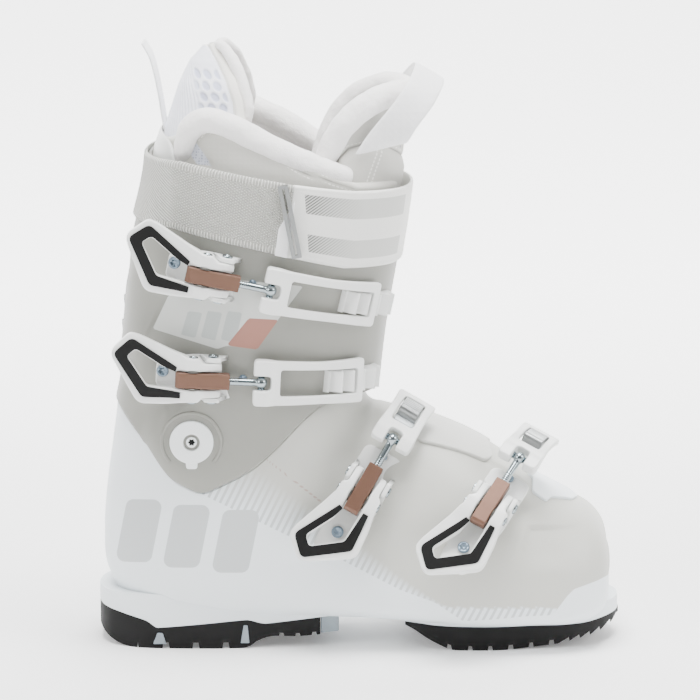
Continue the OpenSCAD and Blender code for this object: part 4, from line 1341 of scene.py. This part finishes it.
def webbing_strip(name, line, width_vec, thick, samples, body, replaces_node):
    """A strip of webbing with rounded edges, along its middle line; width_vec may change along it."""
    pts = row_at(np.asarray(line, float), np.linspace(0, len(line) - 1, samples))
    w = row_at(np.asarray(width_vec, float), np.linspace(0, len(width_vec) - 1, samples))
    n = unit(np.cross(unit(np.gradient(pts, axis=0)), w))
    g = np.linspace(-1, 1, 15)
    lip = np.sqrt(np.clip(1 - g ** 8, 0.05, 1))
    middle = pts[:, None] + w[:, None] / 2 * g[None, :, None]
    off = n[:, None] * (thick / 2 * lip)[None, :, None]
    piece = capped(name, closed_rings(middle + off, middle - off), body, webbing)
    piece.modifiers.new("smooth", "SUBSURF").render_levels = 1
    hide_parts(replaces_node)


build_spoiler()
build_foot_liner()
build_shaft()
build_collar()
build_calf_panel()
build_tongue()


def build_loops():
    """The tongue's and the heel's pull loops."""
    line = mirrored([[103.5, -29, 284], [109, -32, 291], [117, -33.5, 302], [125.5, -29, 313],
                     [130.5, -16, 320.5], [132, 0, 322.5]])
    width = mirrored([[27, 13, 5], [21, 4, -6], [16.2, 0, -9.5], [16.2, 0, -9.5], [16.2, -1, -9.5],
                      [16.2, 0, -9.5]])
    webbing_strip("tongue_loop_webbing", line, width, 1.7, 110, "tongue_loop", "tongue_pull_loop")
    # the heel loop's two layers are sewn flat together
    line = [[-12.9, 0, 284], [-15.1, 0, 294], [-17.6, 0, 310], [-20.1, 0, 323], [-22.6, 0, 332],
            [-25.2, 0, 337], [-26.8, 0, 339.8]]
    width = [[1.0, 18, 0.5]] * len(line)
    webbing_strip("heel_loop_webbing", line, width, 1.7, 120, "heel_loop", "heel_pull_loop")


build_loops()


# ------------------------------------------------------------------ the buckles
# Drawn flat as (u, v): u runs from the lever to the rack and v along the pins; h is the
# height away from the shell. The frame bends round the shell about its nose pin.
ARM_SLOT = 5.2
BARREL_AT = (-11.0, 4.0)
NOSE_AT = (26.8, 4.0)


def buckle_matrix(i):
    p, roll, pitch, yaw = BUCKLES[i - 1][:4]
    return (Matrix.Translation(p) @ Matrix.Rotation(math.radians(-roll), 4, "X")
            @ Matrix.Rotation(math.radians(-pitch), 4, "Y") @ Matrix.Rotation(math.radians(yaw), 4, "Z"))


def in_buckle(i, u, v, h):
    """World points of buckle coordinates."""
    m = np.array(buckle_matrix(i))
    local = np.stack(np.broadcast_arrays(u, -np.asarray(h), v, 1.0), axis=-1)
    return (local @ m.T)[..., :3]


def filleted(points, radius, steps=6):
    """An outline with rounded corners; radius is one number, or one for each corner."""
    pts = [np.array(p, float) for p in points]
    radii = radius if hasattr(radius, "__len__") else [radius] * len(pts)
    out = []
    for k, p in enumerate(pts):
        a, b = pts[k - 1] - p, pts[(k + 1) % len(pts)] - p
        la, lb = np.linalg.norm(a), np.linalg.norm(b)
        cut = min(radii[k], 0.48 * la, 0.48 * lb)
        if cut < 0.05:
            out.append(p)
            continue
        s, e = p + a / la * cut, p + b / lb * cut
        for f in np.linspace(0, 1, steps):
            out.append(s * (1 - f) ** 2 + 2 * p * f * (1 - f) + e * f * f)
    return out


CURVE_SCALE = 100      # curves are filled at a hundred times their size


def plate(name, outline, holes, low, high, body, material, round_by=0.8, cuts=(), place=None, steps=3):
    """A flat part with rounded edges, cut across at the places u in cuts so that it can bend;
    place turns arrays u, v, h into world points."""
    curve = bpy.data.curves.new(name, "CURVE")
    curve.dimensions = "2D"
    curve.fill_mode = "BOTH"
    curve.bevel_depth = round_by * MM * CURVE_SCALE
    curve.bevel_resolution = steps
    curve.extrude = max((high - low) / 2 - round_by, 0.02) * MM * CURVE_SCALE
    curve.offset = -round_by * MM * CURVE_SCALE
    for ring in [outline] + list(holes):
        line = curve.splines.new("POLY")
        line.points.add(len(ring) - 1)
        for point, p in zip(line.points, ring):
            point.co = (p[0] * MM * CURVE_SCALE, p[1] * MM * CURVE_SCALE, 0, 1)
        line.use_cyclic_u = True
    holder = placed(bpy.data.objects.new(name + "_curve", curve))
    bpy.context.view_layer.update()
    mesh = bpy.data.meshes.new_from_object(holder)
    bpy.data.objects.remove(holder)
    bpy.data.curves.remove(curve)
    bm = bmesh.new()
    bm.from_mesh(mesh)
    bmesh.ops.remove_doubles(bm, verts=bm.verts, dist=0.002 * MM * CURVE_SCALE)
    for u in cuts:
        bmesh.ops.bisect_plane(bm, geom=bm.verts[:] + bm.edges[:] + bm.faces[:],
                               plane_co=(u * MM * CURVE_SCALE, 0, 0), plane_no=(1, 0, 0))
    co = np.array([v.co[:] for v in bm.verts]) / (MM * CURVE_SCALE)
    world = place(co[:, 0], co[:, 1], co[:, 2] + (low + high) / 2) * MM
    for v, p in zip(bm.verts, world):
        v.co = p
    close_mesh(bm, mesh)
    mesh.materials.clear()
    mesh.materials.append(material)
    mesh.shade_smooth()
    piece = placed(bpy.data.objects.new(name, mesh))
    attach(piece, body)
    return even_shading(piece)


def disc(name, i, at, half_from, half_to, radius, material, body, recess=0.0):
    """A round head or collar on a pin: at is (u, h), and it runs along v."""
    a = angles(36)
    side = math.copysign(1, half_to - half_from)
    rows = [(half_from, radius), (half_to - 0.35 * side, radius), (half_to - 0.1 * side, radius - 0.12),
            (half_to, radius - 0.4)]
    if recess:
        rows += [(half_to, recess), (half_to - 0.8 * side, recess * 0.92), (half_to - 0.8 * side, 0.05)]
    else:
        rows += [(half_to + 0.12 * side, radius * 0.5), (half_to + 0.14 * side, 0.05)]
    star = 1 + 0.16 * np.cos(6 * a)
    grid = []
    for v, r in rows:
        rr = r * (star if recess and r <= recess else 1.0)
        grid.append(in_buckle(i, at[0] + rr * np.cos(a), v, at[1] + rr * np.sin(a)))
    return capped(name, np.array(grid), body, material)


INSERT = [[-55.3, 11.5], [-45.5, 21.4], [-19.8, 7.0], [-20.6, 4.4], [-27, 6.6], [-43, 15.4], [-47.8, 10.6],
          [-36, -5.4], [-17.6, -6.9], [-17.6, -10.2], [-38.6, -11.6]]
INSERT_ROUND = [3, 3, 0.4, 0.4, 1.5, 2.2, 2.2, 1.5, 0.4, 0.4, 2.2]
LEVER = [[-57.5, 12], [-46.5, 24], [-41, 23], [-22, 15.6], [-15.5, 13.4], [-14, 12.6], [-7.5, 12.6],
         [-5.5, 9.6], [4.8, 9.6], [4.8, -9.6], [-5.5, -9.6], [-7.5, -12.4], [-14, -12.4], [-19, -13.2],
         [-25, -14.4], [-40.5, -15.4], [-46, -7]]
LEVER_ROUND = [5, 5, 3, 2, 2, 1.2, 1.6, 1.5, 2.5, 2.5, 1.5, 1.6, 1.2, 2, 4, 4, 3]


def lever_low(u):
    return np.interp(u, [-58, -22, -14, -4, 4], [-8.8, -1.2, -1.5, -3.8, -3.4])


def lever_high(u):
    return np.interp(u, [-58, -22, -15, -8, -3, 1, 4.8], [-4.9, 3.8, 7.0, 7.3, 6.4, 5.0, 3.2])


def build_lever(i):
    body = f"lever_{i}"

    def place(u, v, h):
        f = h / 10
        return in_buckle(i, u, v, lever_low(u) * (1 - f) + lever_high(u) * f)
    inside = [[4.8, 9.6], [4.8, ARM_SLOT], [-20, ARM_SLOT], [-27, 6.2], [-43, 14.9], [-47.3, 10.5],
              [-35.8, -5], [-20, -ARM_SLOT], [4.8, -ARM_SLOT]]
    inside_round = [2.5, 0.8, 1.5, 1.5, 2, 2, 1.5, 1.5, 0.8]
    u_shape = filleted(LEVER[:8] + inside + LEVER[9:], LEVER_ROUND[:8] + inside_round + LEVER_ROUND[9:])
    piece = plate(f"lever_{i}_body", u_shape, [], 0, 10, body, gloss_white, 1.1,
                  np.arange(-56, 4, 2.0), place, 4)
    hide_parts(f"lever_{i}")

    def on_top(u, v, h):
        return in_buckle(i, u, v, lever_high(u) + h)
    piece = plate(f"insert_{i}_ring", filleted(INSERT, INSERT_ROUND), [], -0.9, 0.75, body,
                  insert_black, 0.35, np.arange(-54, -22, 2.0), on_top, 2)
    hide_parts(f"insert_{i}")
    for side in (1, -1):
        disc(f"hinge_head_{i}_{side + 1}", i, (0, 0), side * 9.0, side * 13.6, 2.9, steel, body, 1.5)
        disc(f"barrel_head_{i}_{side + 1}", i, BARREL_AT, side * 9.0, side * 13.1,
             2.6, steel, body, 1.35)
        disc(f"washer_{i}_{side + 1}", i, (BARREL_AT[0], BARREL_AT[1] - 0.6), side * 4.5, side * 5.4, 4.6,
             dark_steel, body)


BASE = [[-31, -5.5], [-27, -8], [-12, -12.4], [20, -12.2], [20, 12.2], [-12, 12.4], [-27, 9.5], [-31, 7]]
BASE_LONG = [[-47, -6], [-44, -8.5], [-12, -12.4], [20, -12.2], [20, 12.2], [-12, 12.4], [-44, 10], [-47, 7]]
BASE_ROUND = [2.5, 3, 4, 5, 5, 4, 3, 2.5]
BASE_LOW, BASE_HIGH = -8.0, -6.2


def build_base(i):
    body = body_of(f"base_{i}")

    def place(u, v, h):
        return in_buckle(i, u, v, h)
    outline = BASE if i in ON_CUFF else BASE_LONG
    piece = plate(f"base_{i}_plate", filleted(outline, BASE_ROUND), [], BASE_LOW, BASE_HIGH, body,
                  gloss_white, 0.8, (), place)
    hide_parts(f"base_{i}")
    for side in (1, -1):
        low, high = (9.9, 12.5) if side > 0 else (-12.5, -9.9)

        def standing(u, h, v):
            return in_buckle(i, u, v, h)
        ear = filleted([[-7.5, -6], [-4.6, 0], [-4.4, 4.4], [4.4, 4.4], [4.6, 0], [8.5, -6]],
                       [0, 1, 3.6, 3.6, 1, 0])
        plate(f"base_{i}_ear_{side + 1}", ear, [], low, high, body, gloss_white, 0.5, (), standing)


FRAME_HALF = 13.0
# The two foot buckles' frames stand a little straighter than the CAD's collision shapes.
FRAME_BEND = {1: (94, 40, 0), 2: (92, 38, 0), 3: (42, 46, 6), 4: (40, 44, 8)}


def build_frame(i):
    radius, bend, tilt = FRAME_BEND[i]
    length = radius * math.radians(bend)
    turn = Matrix.Rotation(math.radians(tilt), 4, "Z")

    def place(u, v, h):
        # u runs along the bend from the nose pin
        u, v, h = np.broadcast_arrays(u, v, h)
        a = np.maximum(u, 0) / radius
        x = np.where(u > 0, (radius + h) * np.sin(a), u)
        y = radius - (radius + h) * np.cos(a)
        local = np.stack([x, y, v], axis=-1) @ np.array(turn.to_3x3()).T
        return in_buckle(i, local[..., 0] + NOSE_AT[0], local[..., 2], -local[..., 1] + NOSE_AT[1])
    half = FRAME_HALF if i in ON_CUFF else 12.0
    win = 7.5 if i in ON_CUFF else 6.8
    stop = length - 4.4
    outline = filleted([[-4.4, 4.0], [-4.4, half], [3, half], [8, half - 0.4], [length * 0.55, half - 1.2],
                        [length, half - 0.3], [length, -half + 0.3], [length * 0.55, -half + 1.2],
                        [8, -half + 0.4], [3, -half], [-4.4, -half], [-4.4, -4.0], [5.2, -4.0], [5.2, 4.0]],
                       [1.0, 2.6, 2, 4, 6, 2.6, 2.6, 6, 4, 2, 2.6, 1.0, 2.4, 2.4])
    hole = filleted([[10.5, win], [stop, win - 0.5], [stop, -win + 0.5], [10.5, -win]], 1.8)
    thick = 3.4

    def thicker(u, v, h):
        # the nose is a boss round the pin, as thick as the pin needs
        grow = 1 + 1.25 * (1 - ease(2.5, 9.5, u))
        return place(u, v, h * grow)
    piece = plate(f"frame_{i}_body", outline, [hole], -thick / 2, thick / 2, f"frame_{i}", gloss_white, 0.9,
                  np.arange(-2, length, 2.0), thicker, 4)
    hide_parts(f"frame_{i}")
    body = body_of(f"rack_{i}")
    if i in ON_CUFF:
        build_white_rack(i, body, place, length)
    else:
        build_steel_catch(i, body, place, length)


def build_white_rack(i, body, place, length):
    """A strip of ratchet teeth that runs on past the frame's far end."""
    pitch, half = 7.6, 6.6
    first, last = length - 4.4 - 2.4 * pitch, length + 2.0 * pitch
    u = np.arange(first, last, 0.38)
    phase = ((u - (length - 4.4)) / pitch) % 1.0
    tooth = 4.9 * np.clip(phase / 0.62, 0, 1) ** 0.9 * (1 - ease(0.70, 0.80, phase))
    ends = ease(first, first + 1.4, u) * (1 - ease(last - 1.6, last, u))
    top = -3.6 + tooth * ends + 0.8
    v = np.linspace(-1, 1, 25)
    side = np.sqrt(np.clip(1 - ((np.abs(v) - 0.9) / 0.1).clip(0) ** 2, 0, 1))
    upper = place(u[:, None], half * v[None, :], -6.5 + (top[:, None] + 6.5) * (0.35 + 0.65 * side[None, :]))
    lower = place(u[:, None], half * v[None, :], np.full((len(u), len(v)), -7.5))
    piece = capped(f"rack_{i}_teeth", closed_rings(upper, lower), body, gloss_white)
    even_shading(piece)
    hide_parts(f"rack_{i}")


def build_steel_catch(i, body, place, length):
    """A raised pad with a ribbed steel catch that the frame's crossbar hooks behind."""
    outline = filleted([[13, 6.0], [length + 6, 6.0], [length + 6, -6.0], [13, -6.0]], 1.6)
    pad = plate(f"rack_{i}_pad", outline, [], -13, -3.2, body, plain_white, 0.8,
                np.arange(14, length + 6, 2.0), place)
    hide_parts(f"rack_{i}")
    first, last = length - 4.6 - 12, length - 4.8
    u = np.linspace(first, last, 90)
    f = (u - first) / (last - first)
    top = -3.4 + 6.4 * np.sqrt(np.clip(1 - (1 - (f / 0.3).clip(0, 1)) ** 2, 0, 1)) * (1 - 0.25 * f)
    top -= 0.32 * (0.5 - 0.5 * np.cos(2 * math.pi * u / 1.5)) * ease(0.2, 0.35, f)      # ribs
    v = np.linspace(-5.8, 5.8, 19)
    upper = place(u[:, None], v[None, :], np.repeat(top[:, None], len(v), axis=1))
    lower = place(u[:, None], v[None, :], np.full((len(u), len(v)), -4.2))
    piece = capped(f"rack_{i}_catch", closed_rings(upper, lower), body, brushed_steel)
    even_shading(piece)


def build_barrel(i):
    body = f"link_{i}"
    u0, h0 = BARREL_AT

    def place(u, h, v):
        return in_buckle(i, u0 + u, v, h0 + h)
    outline = filleted([[-9.6, -1.8], [-8, -3.5], [-3, -4.1], [4, -3.6], [20.2, -3.2], [20.4, 3.2], [4, 3.5],
                        [-8, 3.5], [-9.6, 2]], [1, 1, 2, 2, 0.7, 0.7, 2, 1, 1])
    piece = plate(f"barrel_{i}_body", outline, [], -4.3, 4.3, body, bronze, 0.55, (), place)
    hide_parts(f"barrel_{i}")
    # Rod: threads near the barrel, a smooth neck, and a ball round the cross pin.
    a = angles(40)
    rod, ball, thread_pitch = 2.05, 3.3, 1.25
    grid = []
    for u in np.linspace(-1, NOSE_AT[0] - 4, 60):
        thread = 0.22 * np.sin(2 * math.pi * u / thread_pitch + a) * float(1 - ease(13.5, 16, u))
        grid.append(in_buckle(i, u, (rod + thread) * np.cos(a), h0 + (rod + thread) * np.sin(a)))
    for turn in np.linspace(math.asin(rod / ball), math.pi - 0.02, 16):
        r = ball * math.sin(turn)
        grid.append(in_buckle(i, NOSE_AT[0] - ball * math.cos(turn), r * np.cos(a), h0 + r * np.sin(a)))
    piece = capped(f"rod_{i}_body", np.array(grid), body, steel)
    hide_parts(f"rod_{i}")
    disc(f"nose_pin_{i}_0", i, NOSE_AT, -3, -10.4, 2.0, steel, body)
    disc(f"nose_pin_{i}_2", i, NOSE_AT, 3, 10.4, 2.0, steel, body)


def build_rivets():
    """Flat rivet heads on the buckles' base plates; the strap's own rivets are under the strap."""
    for i in (1, 2, 3, 4):
        body = body_of(f"base_{i}")
        place = (-27.5, 2.6) if i in ON_CUFF else (-32.5, 1.0)
        for k, (u, v, r) in enumerate([place + (3.4,), (17.0, 0.0, 2.2)]):
            a = angles(40)
            star = 1 + 0.14 * np.cos(6 * a)
            rings = [(r, -5.4), (r, -4.7), (r - 0.35, -4.35), (r * 0.5, -4.3), (r * 0.46, -4.9), (0.05, -4.9)]
            grid = [in_buckle(i, u + w * (star if w < r * 0.6 else 1) * np.cos(a),
                              v + w * (star if w < r * 0.6 else 1) * np.sin(a), h) for w, h in rings]
            piece = capped(f"rivet_{i}_{k}", np.array(grid), body, zinc)
    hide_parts("cuff_rivets")
    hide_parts("shell_rivets")


build_rivets()
for i in (1, 2, 3, 4):
    build_lever(i)
    build_base(i)
    build_frame(i)
    build_barrel(i)
    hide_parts(f"pins_{i}")


# ------------------------------------------------------------------ flaps over the foot
def on_crest(x, girth, h):
    """Points of the shell's outside at x and at a girth from its crest, raised by h."""
    surface = shell_surface(SHELL_OUTSIDE)
    x, girth, h = np.broadcast_arrays(np.asarray(x, float), np.asarray(girth, float), np.asarray(h, float))
    t = np.interp(-x, [-r[0] for r in SHELL_FRONT[:8]], np.arange(8))
    ring = surface(t[:, None], np.linspace(0, 1, 81)[None, :])
    half = np.linalg.norm(np.diff(ring, axis=1), axis=2).sum(axis=1)
    s = np.where(np.abs(girth) < 1e-6, 1e-6, girth) / half
    d = 0.004
    p = surface(t, s)
    side = np.where(s > 0, 1.0, -1.0)
    a = surface(t + 0.02, s) - p
    b = surface(t, s + side * d) - p
    n = unit(np.cross(a, b) * side[:, None])
    flip = np.sign(n[:, 2:3])
    return p + n * np.where(flip == 0, 1, flip) * h[:, None]


def crest_plate(name, outline, low, high, material, round_by):
    """A flap with rounded edges that follows the shell over its crest, meshed finely to bend."""
    piece = plate(name, outline, [], low, high, "shell", material, round_by, (),
                  lambda u, v, h: np.stack([u, v, h], axis=-1))
    mesh = piece.data
    bm = bmesh.new()
    bm.from_mesh(mesh)
    low_c, high_c = np.array(outline).min(axis=0), np.array(outline).max(axis=0)
    for axis, normal in ((0, (1, 0, 0)), (1, (0, 1, 0))):
        for at in np.arange(low_c[axis] + 1, high_c[axis], 2.0):
            co = [0, 0, 0]
            co[axis] = at * MM
            bmesh.ops.bisect_plane(bm, geom=bm.verts[:] + bm.edges[:] + bm.faces[:],
                                   plane_co=co, plane_no=normal)
    co = np.array([v.co[:] for v in bm.verts]) / MM
    world = on_crest(co[:, 0], co[:, 1], co[:, 2]) * MM
    for v, p in zip(bm.verts, world):
        v.co = p
    close_mesh(bm, mesh)
    return piece


def both_sides(half):
    return half + [[p[0], -p[1]] for p in half[::-1]]


def build_flaps():
    strip = filleted(both_sides([[165, -1], [167, -20], [163, -27], [129, -30], [123, -24], [124, -1]]), 2.5)
    piece = crest_plate("instep_strip", strip, -1.2, 2.2, flap_grey, 0.8)
    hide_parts("instep_flap")
    guard = filleted(both_sides([[187.5, -1], [187.5, -7], [190.5, -9], [189.5, -27], [196.5, -28.5],
                                 [199.5, -22], [212, -12], [215.5, -1]]), [1, 1, 1, 1.6, 1.6, 1.2, 2, 3] * 2)
    piece = crest_plate("toe_guard_flap", guard, -1.0, 1.6, plain_white, 0.6)
    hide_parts("toe_guard")


def circle(radius, start=0.0, stop=360.0, count=72):
    return [[radius * math.cos(math.radians(a)), radius * math.sin(math.radians(a))]
            for a in np.linspace(start, stop, count, endpoint=stop - start < 360)]


def build_pivots():
    """Pivot bushings: a white disc in a raised collar that is open at the bottom."""
    for side, node in ((-1, "pivot_disc_lateral"), (1, "pivot_disc_medial")):
        def place(u, v, h):
            return np.stack([u, side * h, PIVOT_Z + v], axis=-1)
        collar = circle(17.5, -44, 224) + circle(15.5, -44, 224)[::-1]
        plate(f"pivot_collar_{side + 1}", filleted(collar, 0.0), [], 48.6, 50.7, "cuff", cuff_plain, 0.7,
              (), place)
        tab = filleted([[-3.4, -11], [-3.0, -15.2], [3.0, -15.2], [3.4, -11]], [0, 1.4, 1.4, 0])
        body = body_of(node)
        piece = plate(f"{node}_face", circle(12.2), [circle(4.6)], 49.2, 51.4, body, disc_white, 0.5,
                      (), place)
        plate(f"{node}_tab", tab, [], 49.2, 50.9, body, disc_white, 0.4, (), place)
        plate(f"{node}_dish", circle(5.2), [], 49.0, 49.7, body, disc_white, 0.2, (), place)
        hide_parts(node)
        star = [[(1.75 + 0.3 * math.cos(6 * a)) * math.cos(a), (1.75 + 0.3 * math.cos(6 * a)) * math.sin(a)]
                for a in angles(72)]
        bolt = plate(f"pivot_bolt_{side + 1}", circle(3.0), [star], 50.0, 51.0,
                     body_of("pivot_screws"), disc_white, 0.3, (), place)
        # a black disc seen through the bolt's star recess: painted shade at the recess's bottom
        plate(f"pivot_socket_{side + 1}", circle(2.4), [], 49.8, 50.25, body, insert_black, 0.1, (), place)
        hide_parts("pivot_screws")


build_flaps()
build_pivots()
build_sole_windows()


# ------------------------------------------------------------------ floor, lights, camera
def build_stage():
    """A pale floor that curves up behind the boot and glows more towards the back."""
    floor_z = float(cad_bounds[0][2])
    mesh = bpy.data.meshes.new("floor")
    reach, depth, rise, cove = 3.0, 1.6, 2.4, 0.8
    pts, faces = [], []
    arc = [(depth + cove * math.sin(a), cove * (1 - math.cos(a))) for a in np.linspace(0, math.pi / 2, 14)]
    arc = [(-2 * depth, 0.0)] + arc + [(depth + cove, rise)]
    for y, z in arc:
        pts += [(-reach, y, floor_z + z), (reach, y, floor_z + z)]
    for i in range(len(arc) - 1):
        faces.append((2 * i, 2 * i + 1, 2 * i + 3, 2 * i + 2))
    mesh.from_pydata(pts, [], faces)
    mesh.shade_smooth()
    floor = placed(bpy.data.objects.new("floor", mesh))
    paper = new_material("studio_floor", srgb(242, 242, 242), 0.75, Emission_Color=(1, 1, 1, 1))
    away = add_node(paper, "ShaderNodeSeparateXYZ", {"Vector": place_in(paper)}).outputs["Y"]
    glow = add_node(paper, "ShaderNodeMapRange", {
        "From Min": 0.0, "From Max": 1.1, "To Min": 0.2, "To Max": 2.3, "Value": away},
        interpolation_type="SMOOTHSTEP")
    link(paper, glow.outputs["Result"], shader_of(paper).inputs["Emission Strength"])
    mesh.materials.append(paper)


LIT_POINT = (0.09, 0, 0.12)


def area_light(name, place, size, power_w):
    """A soft light that points at the boot."""
    data = bpy.data.lights.new(name, "AREA")
    data.shape = "RECTANGLE"
    data.size, data.size_y = size
    data.energy = power_w
    light = placed(bpy.data.objects.new(name, data))
    light.location = place
    light.rotation_euler = (Vector(LIT_POINT) - Vector(place)).to_track_quat("-Z", "Y").to_euler()


def build_camera():
    target = Vector((87.8, 0, 164.6)) * MM
    distance, span = 2.6, 0.394
    data = bpy.data.cameras.new("camera")
    data.sensor_width = 36
    data.lens = data.sensor_width / 2 / (span / 2 / distance)
    camera = placed(bpy.data.objects.new("camera", data))
    camera.location = target + Vector((0, -math.cos(CAMERA_TILT), math.sin(CAMERA_TILT))) * distance
    camera.rotation_euler = (target - camera.location).to_track_quat("-Z", "Y").to_euler()
    bpy.context.scene.camera = camera


def build_world():
    """White light from all round, brighter from above and behind."""
    world = bpy.data.worlds.new("studio")
    world.use_nodes = True
    tree = world.node_tree
    back = tree.nodes["Background"]
    coordinates, split, lift, fade = (tree.nodes.new("ShaderNode" + kind)
                                      for kind in ("TexCoord", "SeparateXYZ", "Math", "MapRange"))
    lift.operation = "ADD"
    for socket, value in (("From Min", -0.75), ("From Max", 0.35), ("To Min", 0.28), ("To Max", 0.85)):
        fade.inputs[socket].default_value = value
    for out, into in ((coordinates.outputs["Generated"], split.inputs["Vector"]),
                      (split.outputs["Y"], lift.inputs[0]), (split.outputs["Z"], lift.inputs[1]),
                      (lift.outputs[0], fade.inputs["Value"]),
                      (fade.outputs["Result"], back.inputs["Strength"])):
        tree.links.new(out, into)
    back.inputs["Color"].default_value = (1, 1, 1, 1)
    bpy.context.scene.world = world


build_stage()
build_camera()
area_light("top", (0.15, -0.25, 1.9), (1.1, 0.9), 92)
area_light("left", (-1.5, -1.2, 1.1), (1.0, 1.0), 22)
area_light("right", (1.7, -0.7, 1.1), (1.0, 1.0), 22)
area_light("back", (0.4, 1.4, 1.6), (1.6, 0.8), 26)
build_world()


# ------------------------------------------------------------------ CAD nodes that stay
MATERIAL_OF = {"shell_white": plain_white, "cuff_grey": cuff_plain, "gloss_white": gloss_white,
               "sole_black": rubber, "spacer": spacer_plastic, "steel": brushed_steel, "rivet": zinc,
               "bronze": bronze, "black": insert_black, "strap": liner_cloth,
               "strap_smooth": liner_cloth, "liner": liner_cloth, "fleece": plush,
               "webbing": webbing, "board": board_foam}
for part in frame["record"]["subparts"]:
    node = nodes[part["node"]]
    node.data.materials.clear()
    node.data.materials.append(MATERIAL_OF[part["material_slot"]])
